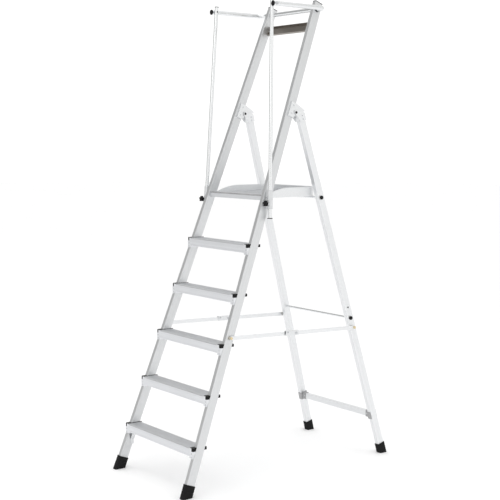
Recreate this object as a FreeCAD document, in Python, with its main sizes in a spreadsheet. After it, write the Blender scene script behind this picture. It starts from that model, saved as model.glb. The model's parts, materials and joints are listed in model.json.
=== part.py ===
"""Folding platform step ladder with a guard rail.

Millimetres, +Z up, +X to the climber's right, +Y to the back. The origin is on the floor, under
the middle of the ladder's footprint. Pieces that exist on both sides are built on the right and
mirrored to the left.
"""
import FreeCAD, Part
import math
import os
import re
import Sketcher

from FreeCAD import Placement, Rotation, Vector

SIZES = (
    ("tread_rise", 250, "height from one tread to the next"),
    ("tread_count", 5, "treads below the platform"),
    ("tread_front", 46, "tread nose in front of the stile's centre line"),
    ("tread_back", 37, "tread back edge behind the stile's centre line"),
    ("tread_wall", 2.2, "wall of the tread extrusion"),
    ("tread_sink", 4, "treads below their even spacing from the floor"),
    ("tread_apron", 44, "height of the tread's front apron"),
    ("apron_groove", 1, "depth of the two grooves along the front apron"),
    ("apron_groove_width", 3, "height of those grooves"),
    ("upper_groove_drop", 12, "upper groove below the tread's top"),
    ("lower_groove_drop", 33, "lower groove below the tread's top"),
    ("tread_back_apron", 26, "height of the tread's back apron"),
    ("tread_lip", 9, "inward lip under both aprons"),
    ("nose_bevel", 5, "rounding of the tread's nose"),
    ("rib_height", 1.2, "height of the grip ribs"),
    ("rib_width", 3.5, "width of a grip rib"),
    ("rib_pitch", 8, "spacing of the grip ribs on a tread"),
    ("cap_height", 18, "height of a tread end cap"),
    ("cap_rise", 2, "top of the end cap above the tread's top"),
    ("cap_plate", 3, "end cap between the tread's end and the stile"),
    ("cap_inset", 14, "tread's end to the cap's front block, outwards"),
    ("cap_step", 4, "cap's back block below its top"),
    ("cap_overhang", 5, "cap's back block behind the tread"),
    ("cap_corner", 5, "rounding of an end cap's front and back corners"),
    ("lug_drop", 53, "foot of the tread's end lug below the tread's top"),
    ("tread_rivet_grip", 17, "shank of the rivets through an end lug"),
    ("stile_half_floor", 322, "centre plane to a stile's centre line at the floor"),
    ("stile_lean", 20.8, "degrees the stiles lean back"),
    ("stile_taper", 2.76, "degrees each stile leans inwards"),
    ("stile_depth", 50, "stile section, front to back"),
    ("stile_width", 24, "stile section, side to side"),
    ("stile_wall", 1.8, "wall of the stiles and rear legs"),
    ("stile_above_guard", 36.7, "stile above the guard rail's axis, along the stile"),
    ("tube_corner", 2, "outside corner radius of the stiles and rear legs"),
    ("plug_thickness", 4, "head of a stile's top plug"),
    ("plug_insert", 18, "part of a plug inside its tube"),
    ("plug_fit", 0.1, "clearance of plugs, caps and boots around tubes"),
    ("boot_wall", 4, "rubber around the foot of a tube"),
    ("boot_corner", 5, "rounding of a boot's corners"),
    ("boot_sole", 9, "rubber under the foot of a tube"),
    ("boot_height", 63, "height of the front boots"),
    ("leg_boot_height", 58, "height of the rear boots"),
    ("strut_width", 20, "flat bar of the struts under the bottom tread"),
    ("strut_thickness", 3.5, "thickness of those struts"),
    ("strut_reach", 52, "strut's reach inwards from the stile"),
    ("strut_drop", 120, "foot of the strut below the tread's top"),
    ("strut_foot", 28, "upright part of the strut on the stile"),
    ("bar_below_guard", 85, "middle of the top cross bar below the guard rail's axis"),
    ("bar_height", 49, "height of the top cross bar"),
    ("bar_depth", 16, "flanges of the top cross bar"),
    ("bar_wall", 2.5, "wall of the top cross bar"),
    ("bar_inset", 1, "the stiles' back faces behind the top cross bar"),
    ("hinge_height", 1930, "height of the hinge pins that join the frames"),
    ("hinge_set_back", 8, "hinge pin behind the stile's back face"),
    ("hinge_pin_radius", 4, "hinge pin"),
    ("hinge_ear_radius", 12, "rounded ear of the hinge plates"),
    ("hinge_plate", 2.5, "thickness of the hinge plates"),
    ("hinge_gap", 1.8, "gap between stile plates and leg plates"),
    ("leg_play", 2, "leg tube to the bracket's cheeks"),
    ("bracket_cover", 36, "bracket over the stile's sides, from the back"),
    ("bracket_below", 34, "bracket below the hinge pin"),
    ("bracket_top", 46, "bracket above the hinge pin at the stile"),
    ("bracket_reach", 55, "bracket's tip behind the hinge pin"),
    ("bracket_rise", 33, "that tip above the hinge pin"),
    ("bracket_lip", 9, "height of the bracket's tip"),
    ("leg_plate_below", 56, "plates on the leg below the hinge pin"),
    ("leg_top_drop", 8, "leg's top below the hinge pin"),
    ("leg_pad_drop", 17, "top of those plates' pads below the hinge pin"),
    ("pin_clearance", 0.08, "radial clearance of pins in their holes"),
    ("pin_to_leg", 15.2, "hinge pin to the rear leg's front face"),
    ("leg_lean", 16.2, "degrees the rear legs lean forwards"),
    ("leg_taper", 2.72, "degrees each rear leg leans inwards"),
    ("leg_depth", 40, "rear leg section, front to back"),
    ("leg_width", 28, "rear leg section, side to side"),
    ("rivet_radius", 2.4, "shank of the rivets"),
    ("rivet_head_radius", 4.6, "head of the rivets"),
    ("rivet_head_height", 1.8, "height of the rivet heads"),
    ("rivet_grip", 8, "rivet shank under its head"),
    ("leg_rivet_grip", 11, "shank of the rivets through the leg's plates"),
    ("cross_rod_radius", 6.5, "round cross rods of the rear frame"),
    ("middle_rod_height", 799, "height of the middle cross rod"),
    ("rod_to_rim", 0.3, "top of the support rod to the platform's underside"),
    ("rod_cap_radius", 10.5, "black caps on the ends of the cross rods"),
    ("rod_cap_length", 5, "those caps outside the leg"),
    ("brace_height", 230, "height of the lower cross brace's centre"),
    ("brace_section", 32, "height of the lower cross brace"),
    ("brace_depth", 20, "depth of the lower cross brace"),
    ("bracket_wall", 3, "wall of the brace brackets"),
    ("stop_bolt_height", 859, "height of the stop bolts on the rear legs"),
    ("platform_height", 1500, "top of the platform above the floor"),
    ("platform_front", 22, "platform pivot behind the platform's front edge"),
    ("hook_gap", 9, "support rod to the hooks behind it"),
    ("platform_pivot_drop", 15, "platform pivot below the platform's top"),
    ("platform_pivot_back", 6, "platform pivot behind the stile's centre line"),
    ("platform_side_gap", 2.8, "platform's side to the stile's inner face"),
    ("platform_pivot_radius", 5, "platform pivot bolts"),
    ("rim_wall", 2.5, "wall of the platform's rim"),
    ("rim_rise", 32, "rim above the platform's top"),
    ("rim_drop", 19, "rim below the platform's top"),
    ("rim_start", 48, "front edge to where the rim starts to rise"),
    ("rim_full", 195, "front edge to where the rim is at full height"),
    ("rim_corner", 66, "outside radius of the rim's back corners"),
    ("deck_thickness", 3, "platform deck plate"),
    ("deck_rib_pitch", 12, "spacing of the ribs on the deck"),
    ("nosing_depth", 30, "depth of the platform's front nosing"),
    ("nosing_height", 30, "height of the platform's front nosing"),
    ("nosing_slope", 9, "height of the sloping front of the nosing's top"),
    ("hook_width", 40, "hooks behind the support rod"),
    ("hook_thickness", 3, "thickness of the hooks"),
    ("ear_thickness", 4, "thickness of the platform's ears"),
    ("hook_drop", 14, "hook below the rim"),
    ("stay_front_height", 776, "height of the stay's front bolt"),
    ("stay_rear_height", 746, "height of the stay's rear bolt"),
    ("stay_gap", 5, "spacer between the stile and the front bar"),
    ("stay_width", 20, "width of the stay bars"),
    ("stay_thickness", 4, "thickness of the stay bars"),
    ("stay_slack", 0.4, "gap between the two lapped stay bars"),
    ("stay_front_length", 430, "front stay bolt to the knuckle pin"),
    ("stay_bolt_gap", 1.4, "rear stay bolt's end to the leg's outer face"),
    ("knuckle_wall", 2.5, "wall of the knuckle bracket"),
    ("knuckle_front", 72, "knuckle bracket in front of its pin"),
    ("knuckle_back", 16, "knuckle bracket behind its pin"),
    ("knuckle_rivet_back", 58, "knuckle rivet in front of the pin"),
    ("knuckle_rivet_lift", 6.5, "knuckle rivet above the bar's middle"),
    ("bolt_radius", 4, "stay, rod and knuckle bolts"),
    ("bolt_head_radius", 7.5, "heads of those bolts"),
    ("bolt_head_height", 4.5, "height of those heads"),
    ("spacer_radius", 7.5, "spacers on those bolts"),
    ("guard_height", 2484, "height of the guard rail's cross tube"),
    ("guard_tube_radius", 12.5, "guard rail tube"),
    ("guard_tube_wall", 1.5, "wall of the guard tube and the rods"),
    ("guard_reach", 344, "cross tube to the rod bolts"),
    ("guard_overhang", 13, "arm in front of the rod bolt"),
    ("guard_bend", 44, "bend of the guard arms"),
    ("guard_joint_out", 9, "tube joint outside the stile's outer face"),
    ("guard_stub", 11, "straight start of a guard arm, from the joint to its bend"),
    ("bush_radius", 15.5, "plastic bushes in the stiles"),
    ("bush_stand", 3, "bush beyond the stile's faces"),
    ("spigot_half", 30, "half the length of an inner joint spigot"),
    ("arm_plug_radius", 14, "head of an arm's end plug"),
    ("arm_plug_length", 3, "length of that head"),
    ("rail_rod_radius", 10, "vertical rods of the guard"),
    ("rod_beside_arm", 27, "rod's centre line inside the guard arm's"),
    ("rod_beside_stile", 26, "rod's centre line outside the stile at the clamp"),
    ("rail_rod_above", 25, "rod above its top bolt"),
    ("rail_rod_tail", 96, "rod below its clamp's middle"),
    ("rod_bolt_gap", 0.5, "spacer's end to the rod"),
    ("rod_stop_radius", 14, "stop flange on a rod's lower end"),
    ("rod_stop_height", 4, "thickness of that flange"),
    ("clamp_height", 1476, "height of the sleeve clamp's middle"),
    ("sleeve_radius", 13.5, "outside of the sleeve clamp"),
    ("sleeve_length", 98, "length of the sleeve clamp"),
    ("boss_radius", 12, "swivel boss of the sleeve clamp"),
    ("boss_gap", 0.9, "boss to the stile's outer face"),
    ("boss_bore_depth", 9, "depth of the boss's bore"),
    ("knob_drop", 21, "knob below the clamp's middle"),
    ("knob_neck", 24, "knob's back face in front of the rod's axis"),
    ("knob_length", 14, "length of the star knob"),
    ("knob_core_radius", 11, "core of the star knob"),
    ("knob_lobe_radius", 4.6, "lobes of the star knob"),
    ("stud_gap", 0.4, "stud's tip to the rod"),
)

TREAD_RIB_MARGIN = 6
TREAD_RIVET_DROPS = (29, 46)
END_ALLOWANCE = 25
KNOB_LOBES = 5
SOFT_HEAD = 0.6
HOOK_X = 120
STILE_RIVET_STEPS = (-16, 30)
LEG_RIVET_STEPS = (-28, -46)

ACROSS = Vector(1, 0, 0)
BACK = Vector(0, 1, 0)
UP = Vector(0, 0, 1)
NO_TURN = Rotation()
TO_RIGHT = Rotation(BACK, 90)
TO_LEFT = Rotation(BACK, -90)
TO_FRONT = Rotation(ACROSS, 90)
TO_BACK = Rotation(ACROSS, -90)
TURN_OVER = Rotation(ACROSS, 180)
SIDES = ((1, TO_RIGHT), (-1, TO_LEFT))

doc = FreeCAD.newDocument("platform_ladder")
sizes = doc.addObject("Spreadsheet::Sheet", "sizes")
for row, (alias, value, meaning) in enumerate(SIZES, start=1):
    sizes.set(f"A{row}", meaning)
    sizes.set(f"B{row}", str(value))
    sizes.setAlias(f"B{row}", alias)
doc.recompute()


def size(alias):
    """The number in the sheet's cell of that name."""
    return float(sizes.get(alias))


def set_size(thing, prop, value):
    """Give a property a number, or bind it to an expression in the sheet's names."""
    if isinstance(value, str):
        thing.setExpression(prop, re.sub(r"\b([a-z]+(?:_[a-z]+)+)\b", r"sizes.\1", value))
    else:
        setattr(thing, prop, value)


# ---- building blocks ----

def at(frame, x=0, y=0, z=0, turn=NO_TURN):
    """The frame moved by its own x, y, z and then turned."""
    return frame.multiply(Placement(Vector(x, y, z), turn))


def primitive(kind, frame, **values):
    """A Part primitive with its sizes bound."""
    thing = doc.addObject("Part::" + kind, kind.lower())
    for prop, value in values.items():
        set_size(thing, prop, value)
    thing.recompute()
    thing.Placement = frame
    return thing


def block(frame, x_size, y_size, z_size, low=(-0.5, -0.5, 0)):
    """A box whose low corner lies at these shares of its sizes from the frame."""
    box = primitive("Box", frame, Length=x_size, Width=y_size, Height=z_size)
    box.Placement = at(frame, low[0] * box.Length.Value, low[1] * box.Width.Value,
                       low[2] * box.Height.Value)
    return box


def cylinder(frame, radius, height):
    """A cylinder from the frame along its Z axis."""
    return primitive("Cylinder", frame, Radius=radius, Height=height)


def cut(base, *tools):
    """The base less every tool."""
    result = doc.addObject("Part::Cut", "cut")
    result.Base = base
    result.Tool = tools[0] if len(tools) == 1 else join(*tools)
    return result


def join(*things):
    """Things that touch or overlap, fused into one solid."""
    result = doc.addObject("Part::MultiFuse", "fuse")
    result.Shapes = list(things)
    return result


def common(*things):
    """What all the things share."""
    result = doc.addObject("Part::MultiCommon", "common")
    result.Shapes = list(things)
    return result


def group(*things):
    """Separate solids kept in one sub-part."""
    result = doc.addObject("Part::Compound", "group")
    result.Links = list(things)
    return result


def mirrored(thing):
    """The thing's mirror image across the ladder's centre plane."""
    result = doc.addObject("Part::Mirroring", "mirror")
    result.Source = thing
    result.Normal = ACROSS
    return result


def origin_plane(body, role):
    """One of the body's own base planes."""
    return next(plane for plane in body.Origin.OriginFeatures if plane.Role == role)


def draw_outline(sketch, corners):
    """A closed outline whose corners are held by coordinates from the origin."""
    count = len(corners)
    first = sketch.GeometryCount
    turns = [2 * math.pi * k / count for k in range(count)]
    ring = [Vector(100 * math.cos(turn), 100 * math.sin(turn), 0) for turn in turns]
    for k in range(count):
        sketch.addGeometry(Part.LineSegment(ring[k], ring[(k + 1) % count]), False)
    for k in range(count):
        sketch.addConstraint(Sketcher.Constraint("Coincident", first + k, 2, first + (k + 1) % count, 1))
    for k, corner in enumerate(corners):
        for direction, value in zip(("DistanceX", "DistanceY"), corner):
            start = 1.0 if isinstance(value, str) else float(value)
            index = sketch.addConstraint(Sketcher.Constraint(direction, first + k, 1, start))
            if isinstance(value, str):
                set_size(sketch, f"Constraints[{index}]", value)


def drawn(name, plane, outlines, length):
    """A body padded from closed outlines on one of its base planes."""
    body = doc.addObject("PartDesign::Body", name + "_body")
    sketch = body.newObject("Sketcher::SketchObject", name + "_outline")
    sketch.AttachmentSupport = [(origin_plane(body, plane), "")]
    sketch.MapMode = "FlatFace"
    for corners in outlines:
        draw_outline(sketch, corners)
    pad = body.newObject("PartDesign::Pad", name + "_pad")
    pad.Profile = sketch
    set_size(pad, "Length", length)
    doc.recompute()
    return body


def round_edges(body, radius, chosen):
    """Fillet the upright edges of a padded body that the test picks by their position."""
    pad = body.Tip
    upright = []
    for number, edge in enumerate(pad.Shape.Edges, start=1):
        ends = [vertex.Point for vertex in edge.Vertexes]
        if abs(ends[0].z - ends[-1].z) > 0.01 and chosen(ends[0]):
            upright.append(f"Edge{number}")
    fillet = body.newObject("PartDesign::Fillet", body.Name + "_corners")
    fillet.Base = (pad, upright)
    set_size(fillet, "Radius", radius)
    doc.recompute()


def is_outer_corner(width):
    """A test for corners on the outside of a centred tube."""
    return lambda point: abs(point.x) > size(width) / 2 - 0.01


def is_back_corner(back):
    """A test for corners on the back of a drawn plan."""
    return lambda point: point.y > back - 0.01


def rectangle(x_size, y_size):
    """Corners of a centred rectangle, from the names of its sizes."""
    return ((f"-({x_size}) / 2", f"-({y_size}) / 2"), (f"({x_size}) / 2", f"-({y_size}) / 2"),
            (f"({x_size}) / 2", f"({y_size}) / 2"), (f"-({x_size}) / 2", f"({y_size}) / 2"))


def tube(name, width, depth, wall, length):
    """A rectangular tube along Z."""
    outlines = (rectangle(width, depth), rectangle(f"{width} - 2 * {wall}", f"{depth} - 2 * {wall}"))
    return drawn(name, "XY_Plane", outlines, length)


def headed(frame, grip, radius, head_radius, head_height):
    """A fastener: its head stands on the frame along Z, its shank goes the other way."""
    head = primitive("Cone", frame, Radius1=head_radius, Radius2=f"({head_radius}) * {SOFT_HEAD}",
                     Height=head_height)
    shank = cylinder(at(frame, turn=TURN_OVER), radius, grip)
    return join(head, shank)


def rivet(frame, *plates, grip="rivet_grip"):
    """A rivet headed on the frame, with its holes in the plates named."""
    for plate in plates:
        bore(plate, at(frame, z=1, turn=TURN_OVER), "rivet_radius", size(grip) + 2)
    return headed(frame, grip, "rivet_radius", "rivet_head_radius", "rivet_head_height")


pieces = {}
bores = {}


def bore(name, frame, radius, length):
    """Register a hole to be cut in a piece once everything is placed."""
    bores.setdefault(name, []).append(cylinder(frame, radius, length))


# ---- frames of the two tapering, leaning frames ----

def tilted(origin, lean, taper):
    """Frame of a right-hand upright: Z along it, Y towards the back, X outwards."""
    lean_by = math.radians(lean)
    taper_by = math.radians(taper)
    along = Vector(-math.sin(taper_by), math.cos(taper_by) * math.sin(lean_by),
                   math.cos(taper_by) * math.cos(lean_by))
    deep = Vector(0, math.cos(lean_by), -math.sin(lean_by))
    return Placement(origin, Rotation(deep.cross(along), deep, along, "ZYX"))


def station(frame, height, x=0, y=0):
    """How far along the frame's Z the line at local x, y reaches a height."""
    start = frame.multVec(Vector(x, y, 0))
    return (height - start.z) / frame.Rotation.multVec(UP).z


def point_at(frame, height, x=0, y=0):
    """The point at that height on the line at local x, y."""
    return frame.multVec(Vector(x, y, station(frame, height, x, y)))


def world(point, turn=NO_TURN):
    """A frame at a point, square to the floor unless turned."""
    return Placement(point, turn)


def rightward(x, point):
    """A frame at that x, level with the point, with Z to the right."""
    return world(Vector(x, point.y, point.z), TO_RIGHT)


def leg_frame_from(stile):
    """The rear leg's frame, with its origin on the hinge pin."""
    pin = point_at(stile, size("hinge_height"), 0, size("stile_depth") / 2 + size("hinge_set_back"))
    return tilted(pin, -size("leg_lean"), size("leg_taper"))


leg_y = size("pin_to_leg") + size("leg_depth") / 2
raw_stile = tilted(Vector(size("stile_half_floor"), 0, 0), size("stile_lean"), size("stile_taper"))
raw_leg = leg_frame_from(raw_stile)
front_edge = -(size("stile_depth") / 2 + size("boot_wall")) / math.cos(math.radians(size("stile_lean")))
back_edge = (point_at(raw_leg, 0, 0, leg_y).y
             + (size("leg_depth") / 2 + size("boot_wall")) / math.cos(math.radians(size("leg_lean"))))
stile_frame = Placement(Vector(0, -(front_edge + back_edge) / 2, 0), NO_TURN).multiply(raw_stile)
leg_frame = leg_frame_from(stile_frame)
pin_point = leg_frame.Base

stile_out = size("stile_width") / 2
stile_back = size("stile_depth") / 2
leg_out = size("leg_width") / 2
bracket_out = leg_out + size("leg_play") + size("hinge_plate")
plate_out = bracket_out + size("hinge_gap") + size("hinge_plate")
stile_length = station(stile_frame, size("guard_height")) + size("stile_above_guard")
bar_centre = size("guard_height") - size("bar_below_guard")


def stile_x(height, outwards):
    """X of the stile's side at the outwards offset, level with its centre line."""
    return point_at(stile_frame, height, outwards).x


def floor_block(top):
    """Everything below a height, for cutting feet level."""
    return block(world(Vector(0, 0, top)), "3 * tread_rise * tread_count", "3 * tread_rise * tread_count",
                 "tread_rise", (-0.5, -0.5, -1))


def stile_solid():
    """The stile's full section, for cutting what fits around it."""
    return block(at(stile_frame, z=-END_ALLOWANCE), "stile_width", "stile_depth",
                 stile_length + END_ALLOWANCE)


def leg_solid():
    """The rear leg's full section, for cutting what fits around it."""
    bottom = station(leg_frame, 0, 0, leg_y) - END_ALLOWANCE
    return block(at(leg_frame, y=leg_y, z=bottom), "leg_width", "leg_depth", -bottom)


# ---- climbing frame ----

def make_stile():
    """Tube cut level above its boot and square at its top."""
    stile = tube("stile", "stile_width", "stile_depth", "stile_wall", stile_length + END_ALLOWANCE)
    round_edges(stile, "tube_corner", is_outer_corner("stile_width"))
    stile.Placement = at(stile_frame, z=-END_ALLOWANCE)
    pieces["stile"] = cut(stile, floor_block(size("boot_sole")))


def make_top_plug():
    """Flat head on the stile's top end with an insert in the tube."""
    top = stile_length
    head = block(at(stile_frame, z=top), "stile_width", "stile_depth", "plug_thickness")
    insert = block(at(stile_frame, z=top - size("plug_insert")),
                   "stile_width - 2 * stile_wall - 2 * plug_fit",
                   "stile_depth - 2 * stile_wall - 2 * plug_fit", "plug_insert")
    pieces["stile_top_plugs"] = join(head, insert)


def make_boot(name, frame, y, width, depth, height):
    """Rubber boot around a tube's foot, flat on the floor."""
    bottom = station(frame, 0, 0, y) - END_ALLOWANCE
    top = station(frame, size(height), 0, y)
    outline = rectangle(f"{width} + 2 * boot_wall", f"{depth} + 2 * boot_wall")
    outside = drawn(name, "XY_Plane", (outline,), top - bottom)
    round_edges(outside, "boot_corner", lambda point: True)
    outside.Placement = at(frame, y=y, z=bottom)
    tube_space = block(at(frame, y=y, z=bottom), width, depth, top - bottom + END_ALLOWANCE)
    cavity = cut(tube_space, floor_block(size("boot_sole")))
    pieces[name] = cut(outside, floor_block(0), cavity)


def tread_corners():
    """Section of a tread: a channel open below, ribbed on top; y to the back, z up from its top."""
    front = "-tread_front"
    back = "tread_back"
    corners = [(front, "-tread_apron")]
    for drop in ("lower_groove_drop", "upper_groove_drop"):
        foot = f"-{drop} - apron_groove_width"
        corners += [(front, foot), (f"{front} + apron_groove", foot), (f"{front} + apron_groove", f"-{drop}"),
                    (front, f"-{drop}")]
    corners += [(front, "-nose_bevel"), (f"{front} + nose_bevel / 3", "-nose_bevel / 3"),
                (f"{front} + nose_bevel", 0.0)]
    span = size("tread_front") + size("tread_back") - 2 * TREAD_RIB_MARGIN - size("rib_width")
    for k in range(int(span / size("rib_pitch")) + 1):
        start = f"{front} + {TREAD_RIB_MARGIN} + {k} * rib_pitch"
        end = f"{start} + rib_width"
        corners += [(start, 0.0), (start, "rib_height"), (end, "rib_height"), (end, 0.0)]
    corners += [
        (f"{back} - nose_bevel / 2", 0.0), (back, "-nose_bevel / 2"), (back, "-tread_back_apron"),
        (f"{back} - tread_lip", "-tread_back_apron"),
        (f"{back} - tread_lip", "-tread_back_apron + tread_wall"),
        (f"{back} - tread_wall", "-tread_back_apron + tread_wall"), (f"{back} - tread_wall", "-tread_wall"),
        (f"{front} + tread_wall", "-tread_wall"), (f"{front} + tread_wall", "-tread_apron + tread_wall"),
        (f"{front} + tread_lip", "-tread_apron + tread_wall"), (f"{front} + tread_lip", "-tread_apron"),
    ]
    return corners


def make_cap(number, end, width):
    """End cap: a plate on the tread's end, a block in front of the stile and a lower one behind it."""
    back = "tread_back + cap_overhang"
    corners = ((0.0, "-tread_front"), (width, "-tread_front"), (width, back), (0.0, back))
    blank = drawn(f"cap_{number}", "XY_Plane", (corners,), "cap_height")
    round_edges(blank, "cap_corner", lambda point: point.x > width - 0.01)
    blank.Placement = at(end, z=size("cap_rise") - size("cap_height"))
    step = block(at(end, x=size("cap_plate"), z=size("cap_rise")), width, "2 * tread_back",
                 "cap_step", (0, 0, -1))
    lug_room = block(at(end, x=-1, y=-size("tread_front") - 1, z=0.2), "cap_inset + 1",
                     "tread_front + 1.2", "cap_height", (0, 0, -1))
    return cut(blank, stile_solid(), step, lug_room)


def make_lug(end, width):
    """Lug on the tread's end, filling the space down the front of the stile below the cap."""
    upper = block(at(end, x=-3, y=-size("tread_front")), "cap_inset + 2.8", "tread_front",
                  "cap_height", (0, 0, -1))
    foot = size("lug_drop") - size("cap_height") + size("cap_rise") - 0.2
    lower = block(at(end, x=-3, y=-size("tread_front"), z=-size("lug_drop")), width + 3, "tread_front",
                  foot, (0, 0, 0))
    return cut(join(upper, lower), stile_solid())


def make_treads():
    """Treads between the stiles, each with a riveted lug and a clip-on cap at both ends."""
    caps = []
    rivets = []
    for number in range(1, int(size("tread_count")) + 1):
        top = number * size("tread_rise") - size("tread_sink")
        half = stile_x(top, -stile_out) - size("cap_plate")
        end = world(Vector(half, point_at(stile_frame, top - size("tread_apron") / 4).y, top))
        width = stile_x(top, stile_out) - half - 0.5
        tread = drawn(f"tread_{number}", "YZ_Plane", (tread_corners(),), 2 * half)
        tread.Placement = at(end, x=-2 * half)
        lug = make_lug(end, width)
        pieces[f"tread_{number}"] = join(tread, lug, mirrored(lug))
        caps.append(make_cap(number, end, width))
        for drop in TREAD_RIVET_DROPS:
            head = at(end, x=size("cap_plate") + stile_out, y=-size("tread_front"), z=-drop, turn=TO_FRONT)
            rivets.append(rivet(head, "stile", f"tread_{number}", grip="tread_rivet_grip"))
            bores[f"tread_{number}"].append(mirrored(bores[f"tread_{number}"][-1]))
    pieces["tread_caps"] = group(*caps)
    pieces["tread_rivets"] = group(*rivets)


def bent_strip(points, thickness):
    """Outline of a strip on the left of the points' path, mitred at its bends."""
    normals = []
    for (x, y), (next_x, next_y) in zip(points, points[1:]):
        length = math.hypot(next_x - x, next_y - y)
        normals.append((-(next_y - y) / length, (next_x - x) / length))
    sides = [normals[0]]
    for one, other in zip(normals, normals[1:]):
        share = 1 + one[0] * other[0] + one[1] * other[1]
        sides.append(((one[0] + other[0]) / share, (one[1] + other[1]) / share))
    sides.append(normals[-1])
    offset = [(x + thickness * side[0], y + thickness * side[1]) for (x, y), side in zip(points, sides)]
    return (*points, *reversed(offset))


def make_strut():
    """Flat strut from the stile's inner face up to the bottom tread's underside."""
    top = size("tread_rise") - size("tread_sink") - size("tread_wall")
    low = size("tread_rise") - size("strut_drop")
    foot_x = stile_x(low, -stile_out) + 0.4
    bend_x = stile_x(low + size("strut_foot"), -stile_out) + 0.4
    reach_x = foot_x - size("strut_reach")
    path = ((foot_x, low), (bend_x, low + size("strut_foot")), (reach_x, top), (reach_x - 18, top))
    strut = drawn("strut", "XZ_Plane", (bent_strip(path, size("strut_thickness")),), "strut_width")
    middle_y = point_at(stile_frame, size("tread_rise") * 0.75).y
    strut.Placement = world(Vector(0, middle_y + size("strut_width") / 2, 0))
    pieces["step_struts"] = cut(strut, stile_solid())


def make_cross_bar():
    """Channel between the backs of the stiles, open to the front, with a riveted tab at each end."""
    centre = point_at(stile_frame, bar_centre)
    half = stile_x(bar_centre, 0)
    wall = size("bar_wall")
    front = stile_back - size("bar_depth") - size("bar_inset")
    corners = ((0.0, "-bar_height / 2"), ("bar_depth", "-bar_height / 2"), ("bar_depth", "bar_height / 2"),
               (0.0, "bar_height / 2"), (0.0, "bar_height / 2 - bar_wall"),
               ("bar_depth - bar_wall", "bar_height / 2 - bar_wall"),
               ("bar_depth - bar_wall", "-bar_height / 2 + bar_wall"), (0.0, "-bar_height / 2 + bar_wall"))
    bar = drawn("cross_bar_channel", "YZ_Plane", (corners,), 2 * half)
    leaning = world(Vector(0, centre.y, centre.z), Rotation(ACROSS, -size("stile_lean")))
    bar.Placement = at(leaning, x=-half, y=front)
    on_stile = at(stile_frame, y=front, z=station(stile_frame, bar_centre))
    tab = block(at(on_stile, x=-stile_out), "bar_wall", "bar_depth", "bar_height - 2 * bar_wall",
                (-1, 0, -0.5))
    head = at(on_stile, x=-stile_out - wall, y=(size("bar_depth") - wall) / 2, turn=TO_LEFT)
    pieces["cross_bar_rivets"] = rivet(head, "stile", "top_cross_bar")
    bores["top_cross_bar"].append(mirrored(bores["top_cross_bar"][0]))
    pieces["top_cross_bar"] = join(cut(bar, stile_solid(), mirrored(stile_solid())), tab, mirrored(tab))


def make_guard_bush():
    """Plastic bush that carries the guard's cross tube through the stile."""
    axis = point_at(stile_frame, size("guard_height"))
    half = stile_out + size("bush_stand")
    start = rightward(axis.x - half, axis)
    bush = cylinder(start, "bush_radius", 2 * half)
    pieces["guard_bushes"] = cut(bush, cylinder(start, "guard_tube_radius + pin_clearance", 2 * half))
    bore("stile", start, "bush_radius", 2 * half)


# ---- main hinge ----

def hinge_plate(name, frame, x, thickness, corners):
    """Plate with the given outline and an ear around the pin at the frame's origin."""
    plate = drawn(name, "YZ_Plane", (corners,), thickness)
    plate.Placement = at(frame, x=x)
    return join(plate, cylinder(at(frame, x=x, turn=TO_RIGHT), "hinge_ear_radius", thickness))


def make_bracket():
    """Bracket riveted round the stile's back, with a roof over the leg's top that stops the leg."""
    back = size("hinge_set_back")
    pin_y = stile_back + back
    at_pin = at(stile_frame, y=pin_y, z=station(stile_frame, size("hinge_height"), 0, pin_y))
    tip = (size("bracket_reach"), size("bracket_rise"))
    lip = size("bracket_lip")
    heel = (-back, size("bracket_top"))
    front = -back - size("bracket_cover")
    corners = ((front, "-bracket_below"), (-back, "-bracket_below"), ("hinge_ear_radius", 0.0),
               (tip[0] - lip / 2, tip[1] - lip), tip, heel, (front, "bracket_top"))
    cheeks = []
    rivets = []
    for side, turn in SIDES:
        x = min(side * stile_out, side * bracket_out)
        cheeks.append(hinge_plate("bracket_cheek", at_pin, x, bracket_out - stile_out, corners))
        for step in STILE_RIVET_STEPS:
            head = at(at_pin, x=side * bracket_out, y=-back - size("bracket_cover") / 2, z=step, turn=turn)
            rivets.append(rivet(head, "stile", "hinge_cheeks"))
    slope = math.atan2(tip[1] - heel[1], tip[0] - heel[0])
    start = at(at_pin, y=heel[0] - size("hinge_plate") * math.sin(slope), z=heel[1],
               turn=Rotation(ACROSS, math.degrees(slope)))
    roof = block(start, 2 * bracket_out, math.dist(tip, heel), "hinge_plate", (-0.5, 0, -1))
    leg_room = block(at(at_pin, y=1 - back), 2 * (leg_out + size("leg_play")),
                     2 * size("bracket_reach"), 4 * size("bracket_top"), (-0.5, 0, -0.5))
    pieces["hinge_cheeks"] = join(*[cut(cheek, leg_room) for cheek in cheeks], roof)
    pieces["cheek_rivets"] = group(*rivets)


def make_leg_plates():
    """Two plates riveted to the leg's top, with ears outside the bracket's cheeks."""
    front = size("pin_to_leg")
    back = front + size("leg_depth")
    corners = ((front, "-leg_plate_below"), (back, "-leg_plate_below"), (back, "-leg_pad_drop"),
               (2 * front, 0.0), (0.0, "hinge_ear_radius"), ("-hinge_ear_radius", 0.0))
    plates = []
    rivets = []
    for side, turn in SIDES:
        corner = at(leg_frame, x=min(side * leg_out, side * plate_out), y=front, z=-size("leg_plate_below"))
        pad = block(corner, plate_out - leg_out, "leg_depth", "leg_plate_below - leg_pad_drop", (0, 0, 0))
        x = min(side * (plate_out - size("hinge_plate")), side * plate_out)
        plates.append(join(pad, hinge_plate("leg_plate", leg_frame, x, "hinge_plate", corners)))
        for step in LEG_RIVET_STEPS:
            head = at(leg_frame, x=side * plate_out, y=leg_y, z=step, turn=turn)
            rivets.append(rivet(head, "leg", "leg_hinge_plates", grip="leg_rivet_grip"))
    pieces["leg_hinge_plates"] = group(*plates)
    pieces["leg_plate_rivets"] = group(*rivets)


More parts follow.
